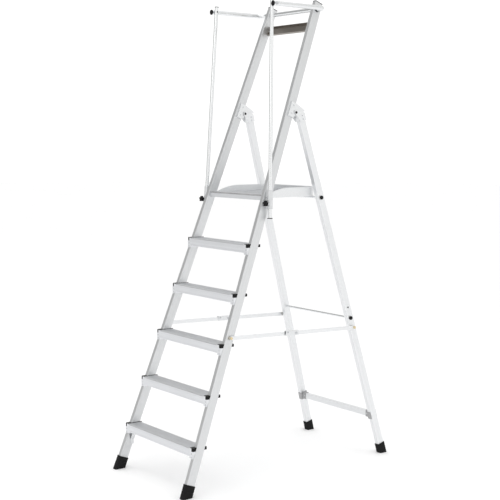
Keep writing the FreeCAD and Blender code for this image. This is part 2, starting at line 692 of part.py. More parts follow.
def make_hinge_pin():
    """Pin through the ears, with a head at each end."""
    half = plate_out + 1
    low_end = pin_point - ACROSS * half
    solids = [cylinder(world(low_end, TO_RIGHT), "hinge_pin_radius", 2 * half)]
    for side, turn in SIDES:
        solids.append(primitive("Cone", world(pin_point + ACROSS * (side * half), turn),
                                Radius1="hinge_pin_radius + 3", Radius2="hinge_pin_radius + 1", Height=3.0))
    pieces["hinge_pins"] = join(*solids)
    bore("hinge_cheeks", world(low_end, TO_RIGHT), "hinge_pin_radius", 2 * half)
    bore("leg_hinge_plates", world(low_end, TO_RIGHT), "hinge_pin_radius + pin_clearance", 2 * half)


# ---- rear frame ----

def make_leg():
    """Tube cut level above its boot, with its top trimmed at the hinge."""
    bottom = station(leg_frame, 0, 0, leg_y) - END_ALLOWANCE
    leg = tube("leg", "leg_width", "leg_depth", "stile_wall", -size("leg_top_drop") - bottom)
    round_edges(leg, "tube_corner", is_outer_corner("leg_width"))
    leg.Placement = at(leg_frame, y=leg_y, z=bottom)
    pieces["leg"] = cut(leg, floor_block(size("boot_sole")))


def make_cross_rod(name, height):
    """Round rod through both legs, with a black cap outside each."""
    centre = point_at(leg_frame, height, 0, leg_y)
    outside = point_at(leg_frame, height, leg_out, leg_y).x
    end = outside + 3
    pieces[name] = cylinder(rightward(-end, centre), "cross_rod_radius", 2 * end)
    bore("leg", rightward(centre.x - 40, centre), "cross_rod_radius", 80)
    cap = cylinder(rightward(outside + 0.6, centre), "rod_cap_radius", "rod_cap_length")
    space = cylinder(rightward(outside, centre), "cross_rod_radius", 3.0)
    pieces[name + "_caps"] = cut(cap, space)


def make_brace():
    """Box-section brace low between the legs, in a bracket around each leg."""
    height = size("brace_height")
    wall = size("bracket_wall")
    centre = point_at(leg_frame, height, 0, leg_y)
    inner = point_at(leg_frame, height, -leg_out, leg_y).x
    half = inner - size("brace_section") / 2 * math.tan(math.radians(size("leg_taper"))) - wall
    brace = tube("lower_brace", "brace_section", "brace_depth", "stile_wall", 2 * half)
    brace.Placement = world(Vector(-half, centre.y, height), TO_RIGHT)
    pieces["lower_brace"] = brace
    clip = block(at(leg_frame, x=-leg_out - wall, y=leg_y, z=station(leg_frame, height, 0, leg_y)),
                 "leg_width - 1", "leg_depth + 2 * bracket_wall", "brace_section + 2 * bracket_wall + 4",
                 (0, -0.5, -0.5))
    socket = block(world(Vector(half - 24, centre.y, height)), inner - half + 24,
                   "brace_depth + 2 * bracket_wall", "brace_section + 2 * bracket_wall", (0, -0.5, -0.5))
    brace_space = block(world(Vector(0, centre.y, height)), 2 * half, "brace_depth", "brace_section",
                        (-0.5, -0.5, -0.5))
    pieces["brace_brackets"] = cut(join(clip, socket), leg_solid(), brace_space)
    rivets = []
    for side, turn in ((1, TO_BACK), (-1, TO_FRONT)):
        head = Vector(half - 14, centre.y + side * (size("brace_depth") / 2 + wall), height)
        rivets.append(rivet(world(head, turn), "brace_brackets", "lower_brace"))
        other = world(Vector(-head.x, head.y, head.z), turn)
        bore("lower_brace", at(other, turn=TURN_OVER), "rivet_radius", size("rivet_grip") + 1)
    pieces["brace_rivets"] = group(*rivets)


def make_stop_bolt():
    """Bolt in the leg's outer face above the middle rod."""
    step = station(leg_frame, size("stop_bolt_height"), 0, leg_y)
    head = at(leg_frame, x=leg_out, y=leg_y, z=step, turn=TO_RIGHT)
    pieces["leg_stop_bolts"] = headed(head, 9, 3.0, 5.2, 2.4)
    bore("leg", at(head, z=1, turn=TURN_OVER), 3.0, 12)


# ---- platform ----

platform_pivot = point_at(stile_frame, size("platform_height") - size("platform_pivot_drop"))
platform_pivot = Vector(0, platform_pivot.y + size("platform_pivot_back"), platform_pivot.z)
platform_front_y = platform_pivot.y - size("platform_front")
platform_bottom = size("platform_height") - size("rim_drop")
deck_bottom = size("platform_height") - size("deck_thickness") - size("rib_height")
side_slope = math.tan(math.radians(size("stile_taper")))
support_height = platform_bottom - size("cross_rod_radius") - size("rod_to_rim")
support_y = point_at(leg_frame, support_height, 0, leg_y).y
platform_length = support_y + size("cross_rod_radius") + size("hook_gap") - platform_front_y


def platform_half(y, inset=0.0):
    """Half the platform's width at a distance behind its front edge, following the stiles' taper."""
    pivot_half = stile_x(platform_pivot.z, -stile_out) - size("platform_side_gap")
    return pivot_half - (y - size("platform_front")) * side_slope - inset


def plan_block(name, y_from, y_to, inset, bottom, height):
    """A block that tapers with the platform, from bottom up."""
    corners = ((-platform_half(y_from, inset), y_from), (platform_half(y_from, inset), y_from),
               (platform_half(y_to, inset), y_to), (-platform_half(y_to, inset), y_to))
    body = drawn(name, "XY_Plane", (corners,), height)
    body.Placement = world(Vector(0, platform_front_y, bottom))
    return body


def make_rim():
    """Upright wall around the deck's sides and back, rising in a curve from the front."""
    length = platform_length
    wall = size("rim_wall")
    height = size("rim_drop") + size("rim_rise")
    outside = plan_block("rim_outside", size("nosing_depth"), length, 0, platform_bottom, height)
    inside = plan_block("rim_inside", 0, length - wall, wall, platform_bottom - 1, height + 2)
    round_edges(outside, "rim_corner", is_back_corner(length))
    round_edges(inside, "rim_corner - rim_wall", is_back_corner(length - wall))
    rise = size("rim_rise")
    run = size("rim_full") - size("rim_start")
    arc = (run ** 2 + rise ** 2) / (2 * rise)
    above = block(world(Vector(0, platform_front_y - 50, size("platform_height"))), 700,
                  size("rim_full") + 50, 80, (-0.5, 0, 0))
    sweep_centre = Vector(-400, platform_front_y + size("rim_full"), size("platform_height") + rise - arc)
    sweep = cylinder(world(sweep_centre, TO_RIGHT), arc, 800)
    pieces["platform_rim"] = cut(outside, inside, cut(above, sweep))


def make_deck():
    """Plate inside the rim with ribs across it, and the nosing in front."""
    length = platform_length
    wall = size("rim_wall")
    nosing = size("nosing_depth")
    outline = plan_block("deck_outline", nosing, length - wall, wall, deck_bottom, 2 * size("deck_thickness"))
    plate = plan_block("deck_plate", nosing, length - wall, wall, deck_bottom, "deck_thickness")
    for body in (outline, plate):
        round_edges(body, "rim_corner - rim_wall", is_back_corner(length - wall))
    ribs = []
    count = int((length - nosing) / size("deck_rib_pitch"))
    for k in range(count):
        y = platform_front_y + nosing + size("deck_rib_pitch") * (k + 0.5)
        rib = world(Vector(0, y, size("platform_height") - size("rib_height")))
        ribs.append(block(rib, 700, "rib_width", "rib_height", (-0.5, 0, 0)))
    pieces["platform_deck"] = join(plate, common(outline, join(*ribs)))
    under = size("platform_height") - size("nosing_height")
    nose = plan_block("nosing", 0, nosing, 0, under, "nosing_height")
    slope = size("nosing_slope")
    front = world(Vector(0, platform_front_y, size("platform_height") - slope))
    corner = block(at(front, turn=Rotation(ACROSS, 48)), 700, "nosing_depth", "nosing_height", (-0.5, 0, 0))
    hollows = [block(at(front, y=depth, z=slope - drop), 600, "nosing_depth", "nosing_height", (-0.5, 0, -1))
               for depth, drop in ((3, slope + 3), (slope + 1, 4))]
    pieces["platform_nosing"] = cut(nose, corner, *hollows)


def make_hook():
    """Plate riveted behind the rim, reaching down behind the support rod."""
    length = platform_length
    back = platform_front_y + length
    pieces["platform_hooks"] = block(world(Vector(HOOK_X, back, platform_bottom - size("hook_drop"))),
                                     "hook_width", "hook_thickness", size("hook_drop") + 36, (-0.5, 0, 0))
    rivets = []
    for step in (-12, 12):
        head = Vector(HOOK_X + step, back + size("hook_thickness"), platform_bottom + 24)
        rivets.append(rivet(world(head, TO_BACK), "platform_hooks", "platform_rim"))
        other = world(Vector(-head.x, head.y, head.z), TO_FRONT)
        bore("platform_rim", other, "rivet_radius", size("rivet_grip") + 1)
    pieces["platform_rivets"] = group(*rivets)


def make_platform_pivots():
    """Ears inside the rim that turn on shoulder bolts in the stiles."""
    wall = size("rim_wall")
    ear = size("ear_thickness")
    low = platform_pivot.z - 13
    height = deck_bottom - low
    start = size("platform_front") - 12
    outside = plan_block("ears_outside", start, start + 46, wall, low, height)
    inside = plan_block("ears_inside", start - 1, start + 47, wall + ear, low - 1, height + 2)
    pieces["platform_ears"] = cut(outside, inside)
    ear_x = platform_half(size("platform_front"), wall + ear)
    face_x = stile_x(platform_pivot.z, -stile_out)
    head_x = ear_x - 0.8
    shoulder_x = platform_half(size("platform_front") - 12, wall) + 0.5
    tip_x = face_x + size("stile_wall") + 4
    level = (platform_pivot.y, platform_pivot.z)
    shank = cylinder(world(Vector(head_x, *level), TO_RIGHT), "platform_pivot_radius", tip_x - head_x)
    head = cylinder(world(Vector(head_x, *level), TO_LEFT), "platform_pivot_radius + 3.5", 5.0)
    washer = cylinder(world(Vector(shoulder_x, *level), TO_RIGHT), "platform_pivot_radius + 3",
                      face_x - shoulder_x + 3)
    pieces["platform_bolts"] = join(shank, head, cut(washer, stile_solid()))
    for side, turn in SIDES:
        bore("platform_ears", world(Vector(side * (ear_x - 5), *level), turn),
             "platform_pivot_radius + pin_clearance", 20)
    bore("stile", world(Vector(face_x - 3, *level), TO_RIGHT), "platform_pivot_radius", 10)


# ---- folding stays ----

stay_a = point_at(stile_frame, size("stay_front_height"))
stay_b = point_at(leg_frame, size("stay_rear_height"), 0, leg_y)
stay_x = stile_x(size("stay_front_height"), stile_out) + size("stay_gap")
rear_bar_x = stay_x + size("stay_thickness") + size("stay_slack")
stay_direction = Vector(0, stay_b.y - stay_a.y, stay_b.z - stay_a.z).normalize()
knuckle_point = Vector(stay_x, stay_a.y, stay_a.z) + stay_direction * size("stay_front_length")


def stay_frame(start, x):
    """Frame at a point in the stay's plane, with Y along the open stay."""
    turn = Rotation(ACROSS, stay_direction, ACROSS.cross(stay_direction), "XYZ")
    return Placement(Vector(x, start.y, start.z), turn)


def stay_bar(frame, length):
    """Flat bar with round ends, from the frame along its Y axis."""
    strip = block(frame, "stay_thickness", length, "stay_width", (0, 0, -0.5))
    ends = [cylinder(at(frame, y=y, turn=TO_RIGHT), "stay_width / 2", "stay_thickness") for y in (0, length)]
    return join(strip, *ends)


def make_stay():
    """Front bar with its knuckle bracket, and the rear bar lapped on it."""
    front_frame = stay_frame(stay_a, stay_x)
    length = size("stay_front_length")
    pieces["stay_front"] = stay_bar(front_frame, length)
    rear_length = math.hypot(stay_b.y - knuckle_point.y, stay_b.z - knuckle_point.z)
    rear_frame = stay_frame(knuckle_point, rear_bar_x)
    pieces["stay_rear"] = stay_bar(rear_frame, rear_length)

    wall = size("knuckle_wall")
    knuckle_frame = stay_frame(knuckle_point, stay_x - wall)
    inside = 2 * size("stay_thickness") + 2 * size("stay_slack")
    total = size("knuckle_front") + size("knuckle_back")
    ceiling = size("stay_width") / 2 + 1.5
    outside = block(at(knuckle_frame, y=-size("knuckle_front"), z=ceiling + wall), inside + 2 * wall, total,
                    size("stay_width") + 3 + wall, (0, 0, -1))
    space = block(at(knuckle_frame, x=wall, y=-size("knuckle_front") - 1, z=ceiling), inside, total + 2,
                  size("stay_width") + 20, (0, 0, -1))
    pieces["knuckle"] = cut(outside, space)
    across = inside + 2 * wall
    pin_start = at(knuckle_frame, x=-2.0, turn=TO_RIGHT)
    pin_head = at(knuckle_frame, x=across, turn=TO_RIGHT)
    pin = join(cylinder(pin_start, "bolt_radius", across + 2), cylinder(at(pin_start, z=-0.5), 6.5, 2.5),
               cylinder(pin_head, 6.5, 2.5))
    side = at(knuckle_frame, y=-size("knuckle_rivet_back"), z=size("knuckle_rivet_lift"))
    through = join(cylinder(at(side, x=-1.8, turn=TO_RIGHT), 2.2, across + 3.6),
                   cylinder(at(side, x=-1.8, turn=TO_RIGHT), 4.5, 1.8),
                   cylinder(at(side, x=across, turn=TO_RIGHT), 4.5, 1.8))
    pieces["knuckle_pins"] = group(pin, through)
    for name in ("knuckle", "stay_front"):
        bore(name, at(knuckle_frame, x=-5, turn=TO_RIGHT), "bolt_radius", across + 10)
        bore(name, at(side, x=-5, turn=TO_RIGHT), 2.2, across + 10)
    bore("stay_rear", at(rear_frame, x=-1, turn=TO_RIGHT), "bolt_radius + pin_clearance", 8)

    face = stile_x(size("stay_front_height"), stile_out)
    end = stay_x + size("stay_thickness") + 0.3
    start = rightward(face - size("stile_wall") - 5, stay_a)
    shank = cylinder(start, "bolt_radius", end - face + size("stile_wall") + 5)
    spacer = cylinder(rightward(face - 6, stay_a), "spacer_radius", stay_x - 0.3 - face + 6)
    spacer = cut(spacer, stile_solid())
    head = cylinder(rightward(end, stay_a), "bolt_head_radius", "bolt_head_height")
    pieces["stay_front_bolts"] = join(shank, spacer, head)
    bore("stile", start, "bolt_radius", 20)
    bore("stay_front", rightward(stay_x - 1, stay_a), "bolt_radius + pin_clearance", 8)

    leg_face = point_at(leg_frame, size("stay_rear_height"), leg_out, leg_y).x
    rear_start = rightward(leg_face + size("stay_bolt_gap"), stay_b)
    rear_outer = rear_bar_x + size("stay_thickness")
    spacer = cylinder(rear_start, "spacer_radius", rear_bar_x - leg_face - size("stay_bolt_gap"))
    shank = cylinder(rear_start, "bolt_radius", rear_outer - leg_face - size("stay_bolt_gap"))
    head = cylinder(rightward(rear_outer, stay_b), "bolt_head_radius", "bolt_head_height")
    pieces["stay_rear_bolt"] = join(spacer, shank, head)
    bore("stay_rear", rightward(rear_bar_x - 1, stay_b), "bolt_radius", 8)


# ---- guard rail ----

guard_axis = Vector(0, point_at(stile_frame, size("guard_height")).y, size("guard_height"))
joint_x = stile_x(size("guard_height"), stile_out) + size("guard_joint_out")
arm_x = joint_x + size("guard_stub") + size("guard_bend")
rod_top = Vector(arm_x - size("rod_beside_arm"), guard_axis.y - size("guard_reach"), guard_axis.z)
clamp_point = Vector(stile_x(size("clamp_height"), stile_out) + size("rod_beside_stile"),
                     point_at(stile_frame, size("clamp_height")).y, size("clamp_height"))
lean_by = math.radians(size("stile_lean"))
folded_top = Vector(rod_top.x, guard_axis.y - size("guard_reach") * math.sin(lean_by),
                    guard_axis.z - size("guard_reach") * math.cos(lean_by))
rod_direction = (rod_top - clamp_point).normalize()
folded_direction = (folded_top - clamp_point).normalize()
swivel_axis = rod_direction.cross(folded_direction).normalize() * -1


def frame_along(point, along, towards):
    """Frame at a point with Z along a direction and X as near as can be to another."""
    side = along.cross(towards).normalize()
    return Placement(point, Rotation(side.cross(along), side, along, "ZYX"))


rod_frame = frame_along(clamp_point, rod_direction, swivel_axis)


def make_guard():
    """Cross tube through the stiles, with a bent arm spigotted on each end."""
    start = rightward(-joint_x, guard_axis)
    pieces["guard_cross_tube"] = cut(cylinder(start, "guard_tube_radius", 2 * joint_x),
                                     cylinder(start, "guard_tube_radius - guard_tube_wall", 2 * joint_x))
    bend = size("guard_bend")
    stub = rightward(joint_x, guard_axis)
    run = world(Vector(arm_x, guard_axis.y - bend, guard_axis.z), TO_FRONT)
    run_length = size("guard_reach") + size("guard_overhang") - bend
    centre = world(Vector(arm_x - bend, guard_axis.y - bend, guard_axis.z))
    solids = []
    for radius in ("guard_tube_radius", "guard_tube_radius - guard_tube_wall"):
        corner = primitive("Torus", centre, Radius1="guard_bend", Radius2=radius, Angle3=90.0)
        solids.append((cylinder(stub, radius, "guard_stub"), corner, cylinder(run, radius, run_length)))
    pieces["guard_arm"] = join(*(cut(outside, inside) for outside, inside in zip(*solids)))
    spigot = rightward(joint_x - size("spigot_half"), guard_axis)
    reach = size("spigot_half") + size("guard_stub")
    pieces["guard_spigots"] = cylinder(spigot, "guard_tube_radius - guard_tube_wall - plug_fit", reach)
    end_y = guard_axis.y - size("guard_reach") - size("guard_overhang")
    tip = world(Vector(arm_x, end_y, guard_axis.z), TO_FRONT)
    plug = cylinder(tip, "arm_plug_radius", "arm_plug_length")
    depth = size("guard_overhang") - 6.5
    insert = cylinder(at(tip, z=-depth), "guard_tube_radius - guard_tube_wall - plug_fit", depth)
    pieces["arm_end_plugs"] = join(plug, insert)

    arm_outer = arm_x + size("guard_tube_radius")
    rod_face = rod_top.x + size("rail_rod_radius") + size("rod_bolt_gap")
    shank = cylinder(rightward(rod_face, rod_top), "bolt_radius", arm_outer + 1 - rod_face)
    head = cylinder(rightward(arm_outer + 1, rod_top), "bolt_head_radius", "bolt_head_height")
    collar = cylinder(rightward(arm_outer - 3, rod_top), "bolt_head_radius", 4.0)
    spacer = cylinder(rightward(rod_face, rod_top), "spacer_radius",
                      arm_x - size("guard_tube_radius") - rod_face + 3)
    arm_space = cylinder(run, "guard_tube_radius", run_length)
    pieces["rod_bolts"] = join(shank, head, cut(join(spacer, collar), arm_space))
    bore("guard_arm", rightward(arm_x - 20, rod_top), "bolt_radius", 40)


def make_rail_rod():
    """Vertical rod of the guard, with its top plug, side nut and lower stop."""
    reach = (rod_top - clamp_point).Length
    tail = at(rod_frame, z=-size("rail_rod_tail"))
    length = size("rail_rod_tail") + reach + size("rail_rod_above")
    pieces["guard_rod"] = cut(cylinder(tail, "rail_rod_radius", length),
                              cylinder(tail, "rail_rod_radius - guard_tube_wall", length))
    insert = "rail_rod_radius - guard_tube_wall - plug_fit"
    top = at(rod_frame, z=length - size("rail_rod_tail"))
    top_plug = join(cylinder(top, "rail_rod_radius + 0.8", 3.0), cylinder(at(top, z=-12), insert, 12))
    stop = join(cylinder(at(tail, z=-size("rod_stop_height")), "rod_stop_radius", "rod_stop_height"),
                cylinder(tail, insert, 14))
    bolt = at(rod_frame, z=reach)
    bolt_end = cylinder(at(bolt, x=-size("rail_rod_radius"), turn=TO_RIGHT), "bolt_radius",
                        "2 * rail_rod_radius")
    pieces["guard_rod_fittings"] = group(top_plug, stop, bolt_end)
    bore("guard_rod", at(bolt, x=-20, turn=TO_RIGHT), "bolt_radius", 40)


def make_clamp():
    """Sleeve that swivels on the stile and grips the rod, with a star knob in front."""
    sleeve = cylinder(at(rod_frame, z=-size("sleeve_length") / 2), "sleeve_radius", "sleeve_length")
    outward = stile_frame.Rotation.multVec(ACROSS)
    face = point_at(stile_frame, size("clamp_height"), stile_out)
    distance = (clamp_point - face).dot(outward) / swivel_axis.dot(outward)
    boss_frame = frame_along(clamp_point - swivel_axis * (distance - size("boss_gap")), swivel_axis, UP)
    boss = cylinder(boss_frame, "boss_radius", distance - size("boss_gap"))
    forward = swivel_axis.cross(rod_direction).normalize()
    knob_point = clamp_point - rod_direction * size("knob_drop")
    knob_frame = frame_along(knob_point, forward, UP)
    lug = cylinder(knob_frame, 8.5, size("knob_neck") - 5)
    bored = cylinder(at(rod_frame, z=-size("sleeve_length")), "rail_rod_radius + pin_clearance",
                     "2 * sleeve_length")
    stud_hole = cylinder(knob_frame, "bolt_radius + pin_clearance", 40)
    bolt_hole = cylinder(boss_frame, "bolt_radius + pin_clearance", "boss_bore_depth")
    pieces["clamp"] = cut(join(sleeve, boss, lug), bored, stud_hole, bolt_hole)

    root = size("stile_wall") + 6
    bolt_frame = frame_along(clamp_point - swivel_axis * (distance + root), swivel_axis, UP)
    grip = root + size("boss_gap") + size("boss_bore_depth") - 1
    pieces["clamp_bolts"] = cylinder(bolt_frame, "bolt_radius", grip)
    bore("stile", bolt_frame, "bolt_radius", root + 3)

    stud = cylinder(at(knob_frame, z=size("rail_rod_radius") + size("stud_gap")), "bolt_radius",
                    size("knob_neck") - 4)
    core = cylinder(at(knob_frame, z=size("knob_neck")), "knob_core_radius", "knob_length")
    lobes = []
    for k in range(KNOB_LOBES):
        turned = at(knob_frame, turn=Rotation(UP, 360 / KNOB_LOBES * k))
        lobe = at(turned, x=size("knob_core_radius"), z=size("knob_neck"))
        lobes.append(cylinder(lobe, "knob_lobe_radius", "knob_length"))
    pieces["star_knob"] = join(stud, core, *lobes)


# ---- the whole ladder ----

SINGLE = ("top_cross_bar", "middle_rod", "support_rod", "lower_brace", "platform_deck", "platform_rim",
          "platform_nosing", "platform_ears", "guard_cross_tube")
PAIRS = {"stile": "stile", "leg": "rear_leg", "stay_front": "stay_front_bar", "stay_rear": "stay_rear_bar",
         "stay_rear_bolt": "stay_rear_bolt", "knuckle": "knuckle_bracket", "knuckle_pins": "knuckle_pins",
         "guard_arm": "guard_arm", "guard_rod": "guard_rod", "guard_rod_fittings": "guard_rod_fittings",
         "clamp": "sleeve_clamp", "star_knob": "star_knob"}
TOGETHER = {"front_boots": ("front_boot",), "rear_boots": ("rear_boot",), "tread_caps": ("tread_caps",),
            "stile_top_plugs": ("stile_top_plugs",), "step_struts": ("step_struts",),
            "frame_rivets": ("tread_rivets", "cross_bar_rivets", "cheek_rivets"),
            "guard_bushes": ("guard_bushes",), "hinge_cheeks": ("hinge_cheeks",),
            "leg_hinge_plates": ("leg_hinge_plates",), "hinge_pins": ("hinge_pins",),
            "rear_frame_rivets": ("leg_plate_rivets", "brace_rivets"),
            "rod_caps": ("middle_rod_caps", "support_rod_caps"), "brace_brackets": ("brace_brackets",),
            "leg_stop_bolts": ("leg_stop_bolts",), "platform_hooks": ("platform_hooks",),
            "platform_rivets": ("platform_rivets",), "platform_bolts": ("platform_bolts",),
            "stay_front_bolts": ("stay_front_bolts",), "guard_spigots": ("guard_spigots",),
            "arm_end_plugs": ("arm_end_plugs",), "rod_bolts": ("rod_bolts",), "clamp_bolts": ("clamp_bolts",)}


def finished(name):
    """A piece with its registered holes cut."""
    if name not in bores:
        return pieces[name]
    return cut(pieces[name], *bores[name])


def make_pieces():
    """Make every piece, on the right where there are two."""
    make_stile()
    make_top_plug()
    make_boot("front_boot", stile_frame, 0, "stile_width", "stile_depth", "boot_height")
    make_treads()
    make_strut()
    make_cross_bar()
    make_guard_bush()
    make_bracket()
    make_leg_plates()
    make_hinge_pin()
    make_leg()
    make_boot("rear_boot", leg_frame, leg_y, "leg_width", "leg_depth", "leg_boot_height")
    make_cross_rod("middle_rod", size("middle_rod_height"))
    make_cross_rod("support_rod", support_height)
    make_brace()
    make_stop_bolt()
    make_rim()
    make_deck()
    make_hook()
    make_platform_pivots()
    make_stay()
    make_guard()
    make_rail_rod()
    make_clamp()


def sub_parts():
    """The finished sub-parts by name."""
    treads = [f"tread_{number}" for number in range(1, int(size("tread_count")) + 1)]
    found = {name: finished(name) for name in (*treads, *SINGLE)}
    for name, node in PAIRS.items():
        right = finished(name)
        found[node + "_right"] = right
        found[node + "_left"] = mirrored(right)
    for node, names in TOGETHER.items():
        rights = [finished(name) for name in names]
        found[node] = group(*rights, *[mirrored(right) for right in rights])
    for name, part in found.items():
        part.Label = name
    doc.recompute()
    return found.values()


def check(parts):
    """Stop if any object failed or any sub-part is not sound."""
    for thing in doc.Objects:
        if "Invalid" in thing.State or "Error" in thing.State:
            raise RuntimeError(f"{thing.Name} ({thing.Label}) is {thing.State}")
    for part in parts:
        if part.Shape.isNull() or not part.Shape.isValid() or not part.Shape.Solids:
            raise RuntimeError(f"{part.Label} has no sound solid")


def write(parts):
    """One STEP file for each sub-part."""
    os.makedirs("parts", exist_ok=True)
    for part in parts:
        part.Shape.exportStep(f"parts/{part.Label}.step")


make_pieces()
parts = sub_parts()
check(parts)
write(parts)
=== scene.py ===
"""Looks for a folding platform step ladder: finishes, small fittings, floor, lights and camera."""

import json
import math

import bmesh
import bpy
import numpy as np
from mathutils import Matrix, Vector
from mathutils.bvhtree import BVHTree


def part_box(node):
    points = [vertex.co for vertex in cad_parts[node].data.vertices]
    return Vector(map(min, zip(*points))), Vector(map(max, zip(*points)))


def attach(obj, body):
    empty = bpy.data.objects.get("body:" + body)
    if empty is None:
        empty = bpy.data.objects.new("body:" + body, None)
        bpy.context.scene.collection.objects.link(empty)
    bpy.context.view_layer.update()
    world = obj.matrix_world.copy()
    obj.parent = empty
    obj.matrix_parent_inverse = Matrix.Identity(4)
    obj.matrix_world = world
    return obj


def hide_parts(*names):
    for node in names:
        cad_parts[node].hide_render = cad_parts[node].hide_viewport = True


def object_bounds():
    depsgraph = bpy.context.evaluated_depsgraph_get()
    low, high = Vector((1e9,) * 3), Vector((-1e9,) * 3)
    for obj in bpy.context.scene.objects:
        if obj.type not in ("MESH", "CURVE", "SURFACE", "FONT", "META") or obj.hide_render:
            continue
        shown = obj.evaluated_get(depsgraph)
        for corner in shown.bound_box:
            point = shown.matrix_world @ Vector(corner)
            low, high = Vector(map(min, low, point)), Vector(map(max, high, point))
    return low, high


bl_info = {
    "name": "Platform step ladder looks",
    "version": (1, 0, 0),
    "blender": (4, 5, 0),
    "location": "3D View > Sidebar > Step ladder",
    "description": "Finishes, moulded boots, fastener details and a pale studio for a platform step ladder",
    "category": "Object",
}

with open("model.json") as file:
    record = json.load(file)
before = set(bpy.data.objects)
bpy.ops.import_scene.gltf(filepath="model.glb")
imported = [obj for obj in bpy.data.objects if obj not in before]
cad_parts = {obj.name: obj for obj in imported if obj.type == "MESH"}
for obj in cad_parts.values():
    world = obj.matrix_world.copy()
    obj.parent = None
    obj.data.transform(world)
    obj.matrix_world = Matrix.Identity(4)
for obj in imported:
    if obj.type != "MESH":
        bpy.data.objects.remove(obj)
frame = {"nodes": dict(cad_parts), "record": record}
CAD_BOX = [list(corner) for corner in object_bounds()]
NODES = frame["nodes"]
RECORD = frame["record"]
SLOT_OF = {row["node"]: row["material_slot"] for row in RECORD["subparts"]}
SLOT_COLOUR = {row["slot"]: row["base_color"] for row in RECORD["materials"]}
BODY_OF = {node: body for body, nodes in RECORD["behaviour"]["bodies"].items() for node in nodes}
SIDES = (-1, 1)
MM = 0.001


# ---- settings ----

def colour(name, slot, description):
    """A colour property that starts at the record's colour for a slot."""
    return bpy.props.FloatVectorProperty(name=name, description=description, subtype="COLOR", size=3,
                                         min=0.0, max=1.0, default=SLOT_COLOUR[slot])


def length(name, millimetres, description):
    """A length property, given in millimetres and kept in metres."""
    return bpy.props.FloatProperty(name=name, description=description, default=millimetres / 1000,
                                   min=0.0, unit="LENGTH", precision=5)


def share(name, default, description):
    """A property between 0 and 1."""
    return bpy.props.FloatProperty(name=name, description=description, default=default, min=0.0, max=1.0,
                                   subtype="FACTOR")


class LadderColours(bpy.types.PropertyGroup):
    frame_aluminium: colour("Frame", "frame_aluminium", "Colour of the stiles, legs, rods and guard tubes")
    tread_aluminium: colour("Treads", "tread_aluminium", "Colour of the ribbed treads and the deck")
    # Painted reflection: the cross bar's colour is dark to stand for the dark surroundings its aluminium
    # mirrors, not for a dark finish of its own.
    dark_aluminium: colour("Cross bar", "dark_aluminium", "Colour of the dark anodised cross bar")
    rivet_aluminium: colour("Rivets", "rivet_aluminium", "Colour of the rivet heads")
    cast_aluminium: colour("Castings", "cast_aluminium", "Colour of the cast rod clamps")
    zinc_steel: colour("Plates", "zinc_steel", "Colour of the zinc plated plates and brackets")
    dark_steel: colour("Pins", "dark_steel", "Colour of the blackened hinge pins and stop bolts")
    bolt_steel: colour("Bolts", "bolt_steel", "Colour of the zinc plated bolts")
    yellow_zinc: colour("Stay bolts", "yellow_zinc", "Colour of the yellow plated bolts of the stays")
    boot_rubber: colour("Boots", "boot_rubber", "Colour of the rubber boots")
    black_plastic: colour("Plugs and caps", "black_plastic", "Colour of the moulded plugs and caps")
    knob_plastic: colour("Knobs", "knob_plastic", "Colour of the star knobs")
    grey_plastic: colour("Brace brackets", "grey_plastic", "Colour of the brackets on the lower brace")


class LadderSizes(bpy.types.PropertyGroup):
    edge_radius: length("Edge radius", 0.6, "Softening of the metal's sharp edges")
    line_spacing: length("Drawn lines", 0.9, "Distance between the lines that drawing leaves along a tube")
    wear: share("Wear", 0.35, "How far edges and treads are rubbed bright")
    boot_groove: length("Boot grooves", 0.9, "Depth of the grip grooves around a boot")
    boot_lip: length("Boot lip", 8.0, "Plain band at the top of a boot")
    stud_spacing: length("Deck studs", 8.0, "Distance between the studs of a row on the deck")
    stud_radius: length("Stud radius", 2.1, "Radius of a stud's foot")
    stud_height: length("Stud height", 0.9, "Height of a stud above the deck plate")
    hub_rise: length("Knob hub", 1.6, "Height of the cap in the middle of a star knob")
    cap_rib: length("Cap ribs", 0.7, "Height of the ribs moulded on a tread's end cap")
    grip_rib: length("Grip ribs", 0.9, "Height of the ribs of the grip strip on the platform's nosing")


class StageSettings(bpy.types.PropertyGroup):
    floor_radius: bpy.props.FloatProperty(name="Floor radius", description="Half the width of the floor",
                                          default=40.0, unit="LENGTH")
    floor_colour: bpy.props.FloatVectorProperty(name="Floor", description="Colour of the floor", size=3,
                                                subtype="COLOR", default=(0.93, 0.93, 0.93))
    lens: bpy.props.FloatProperty(name="Lens", description="Focal length of the camera in millimetres",
                                  default=79.5)
    camera_yaw: bpy.props.FloatProperty(name="Camera yaw", default=math.radians(52.24), subtype="ANGLE",
                                        description="Direction of view, left of the climber")
    camera_pitch: bpy.props.FloatProperty(name="Camera pitch", description="Direction of view, above level",
                                          default=math.radians(-5.76), subtype="ANGLE")
    camera_roll: bpy.props.FloatProperty(name="Camera roll", description="Tilt of the camera about its axis",
                                         default=math.radians(0.17), subtype="ANGLE")
    camera_place: bpy.props.FloatVectorProperty(name="Camera place", description="Where the camera stands",
                                                size=3, subtype="TRANSLATION",
                                                default=(4.7581, -3.7156, 1.7912))


# ---- node groups shared by the materials ----

def new_group(name, inputs, outputs):
    """A shader node group with the given sockets; returns the tree with its two ends."""
    tree = bpy.data.node_groups.new(name, "ShaderNodeTree")
    for label, kind, default in inputs:
        socket = tree.interface.new_socket(label, in_out="INPUT", socket_type=kind)
        socket.default_value = default
    for label, kind in outputs:
        tree.interface.new_socket(label, in_out="OUTPUT", socket_type=kind)
    return tree, tree.nodes.new("NodeGroupInput"), tree.nodes.new("NodeGroupOutput")


def math_node(tree, operation, first, second=None, third=None, clamp=False):
    """A Math node with each input either a socket or a number; returns its output."""
    node = tree.nodes.new("ShaderNodeMath")
    node.operation = operation
    node.use_clamp = clamp
    for slot, value in enumerate((first, second, third)):
        if isinstance(value, bpy.types.NodeSocket):
            tree.links.new(value, node.inputs[slot])
        elif value is not None:
            node.inputs[slot].default_value = value
    return node.outputs[0]


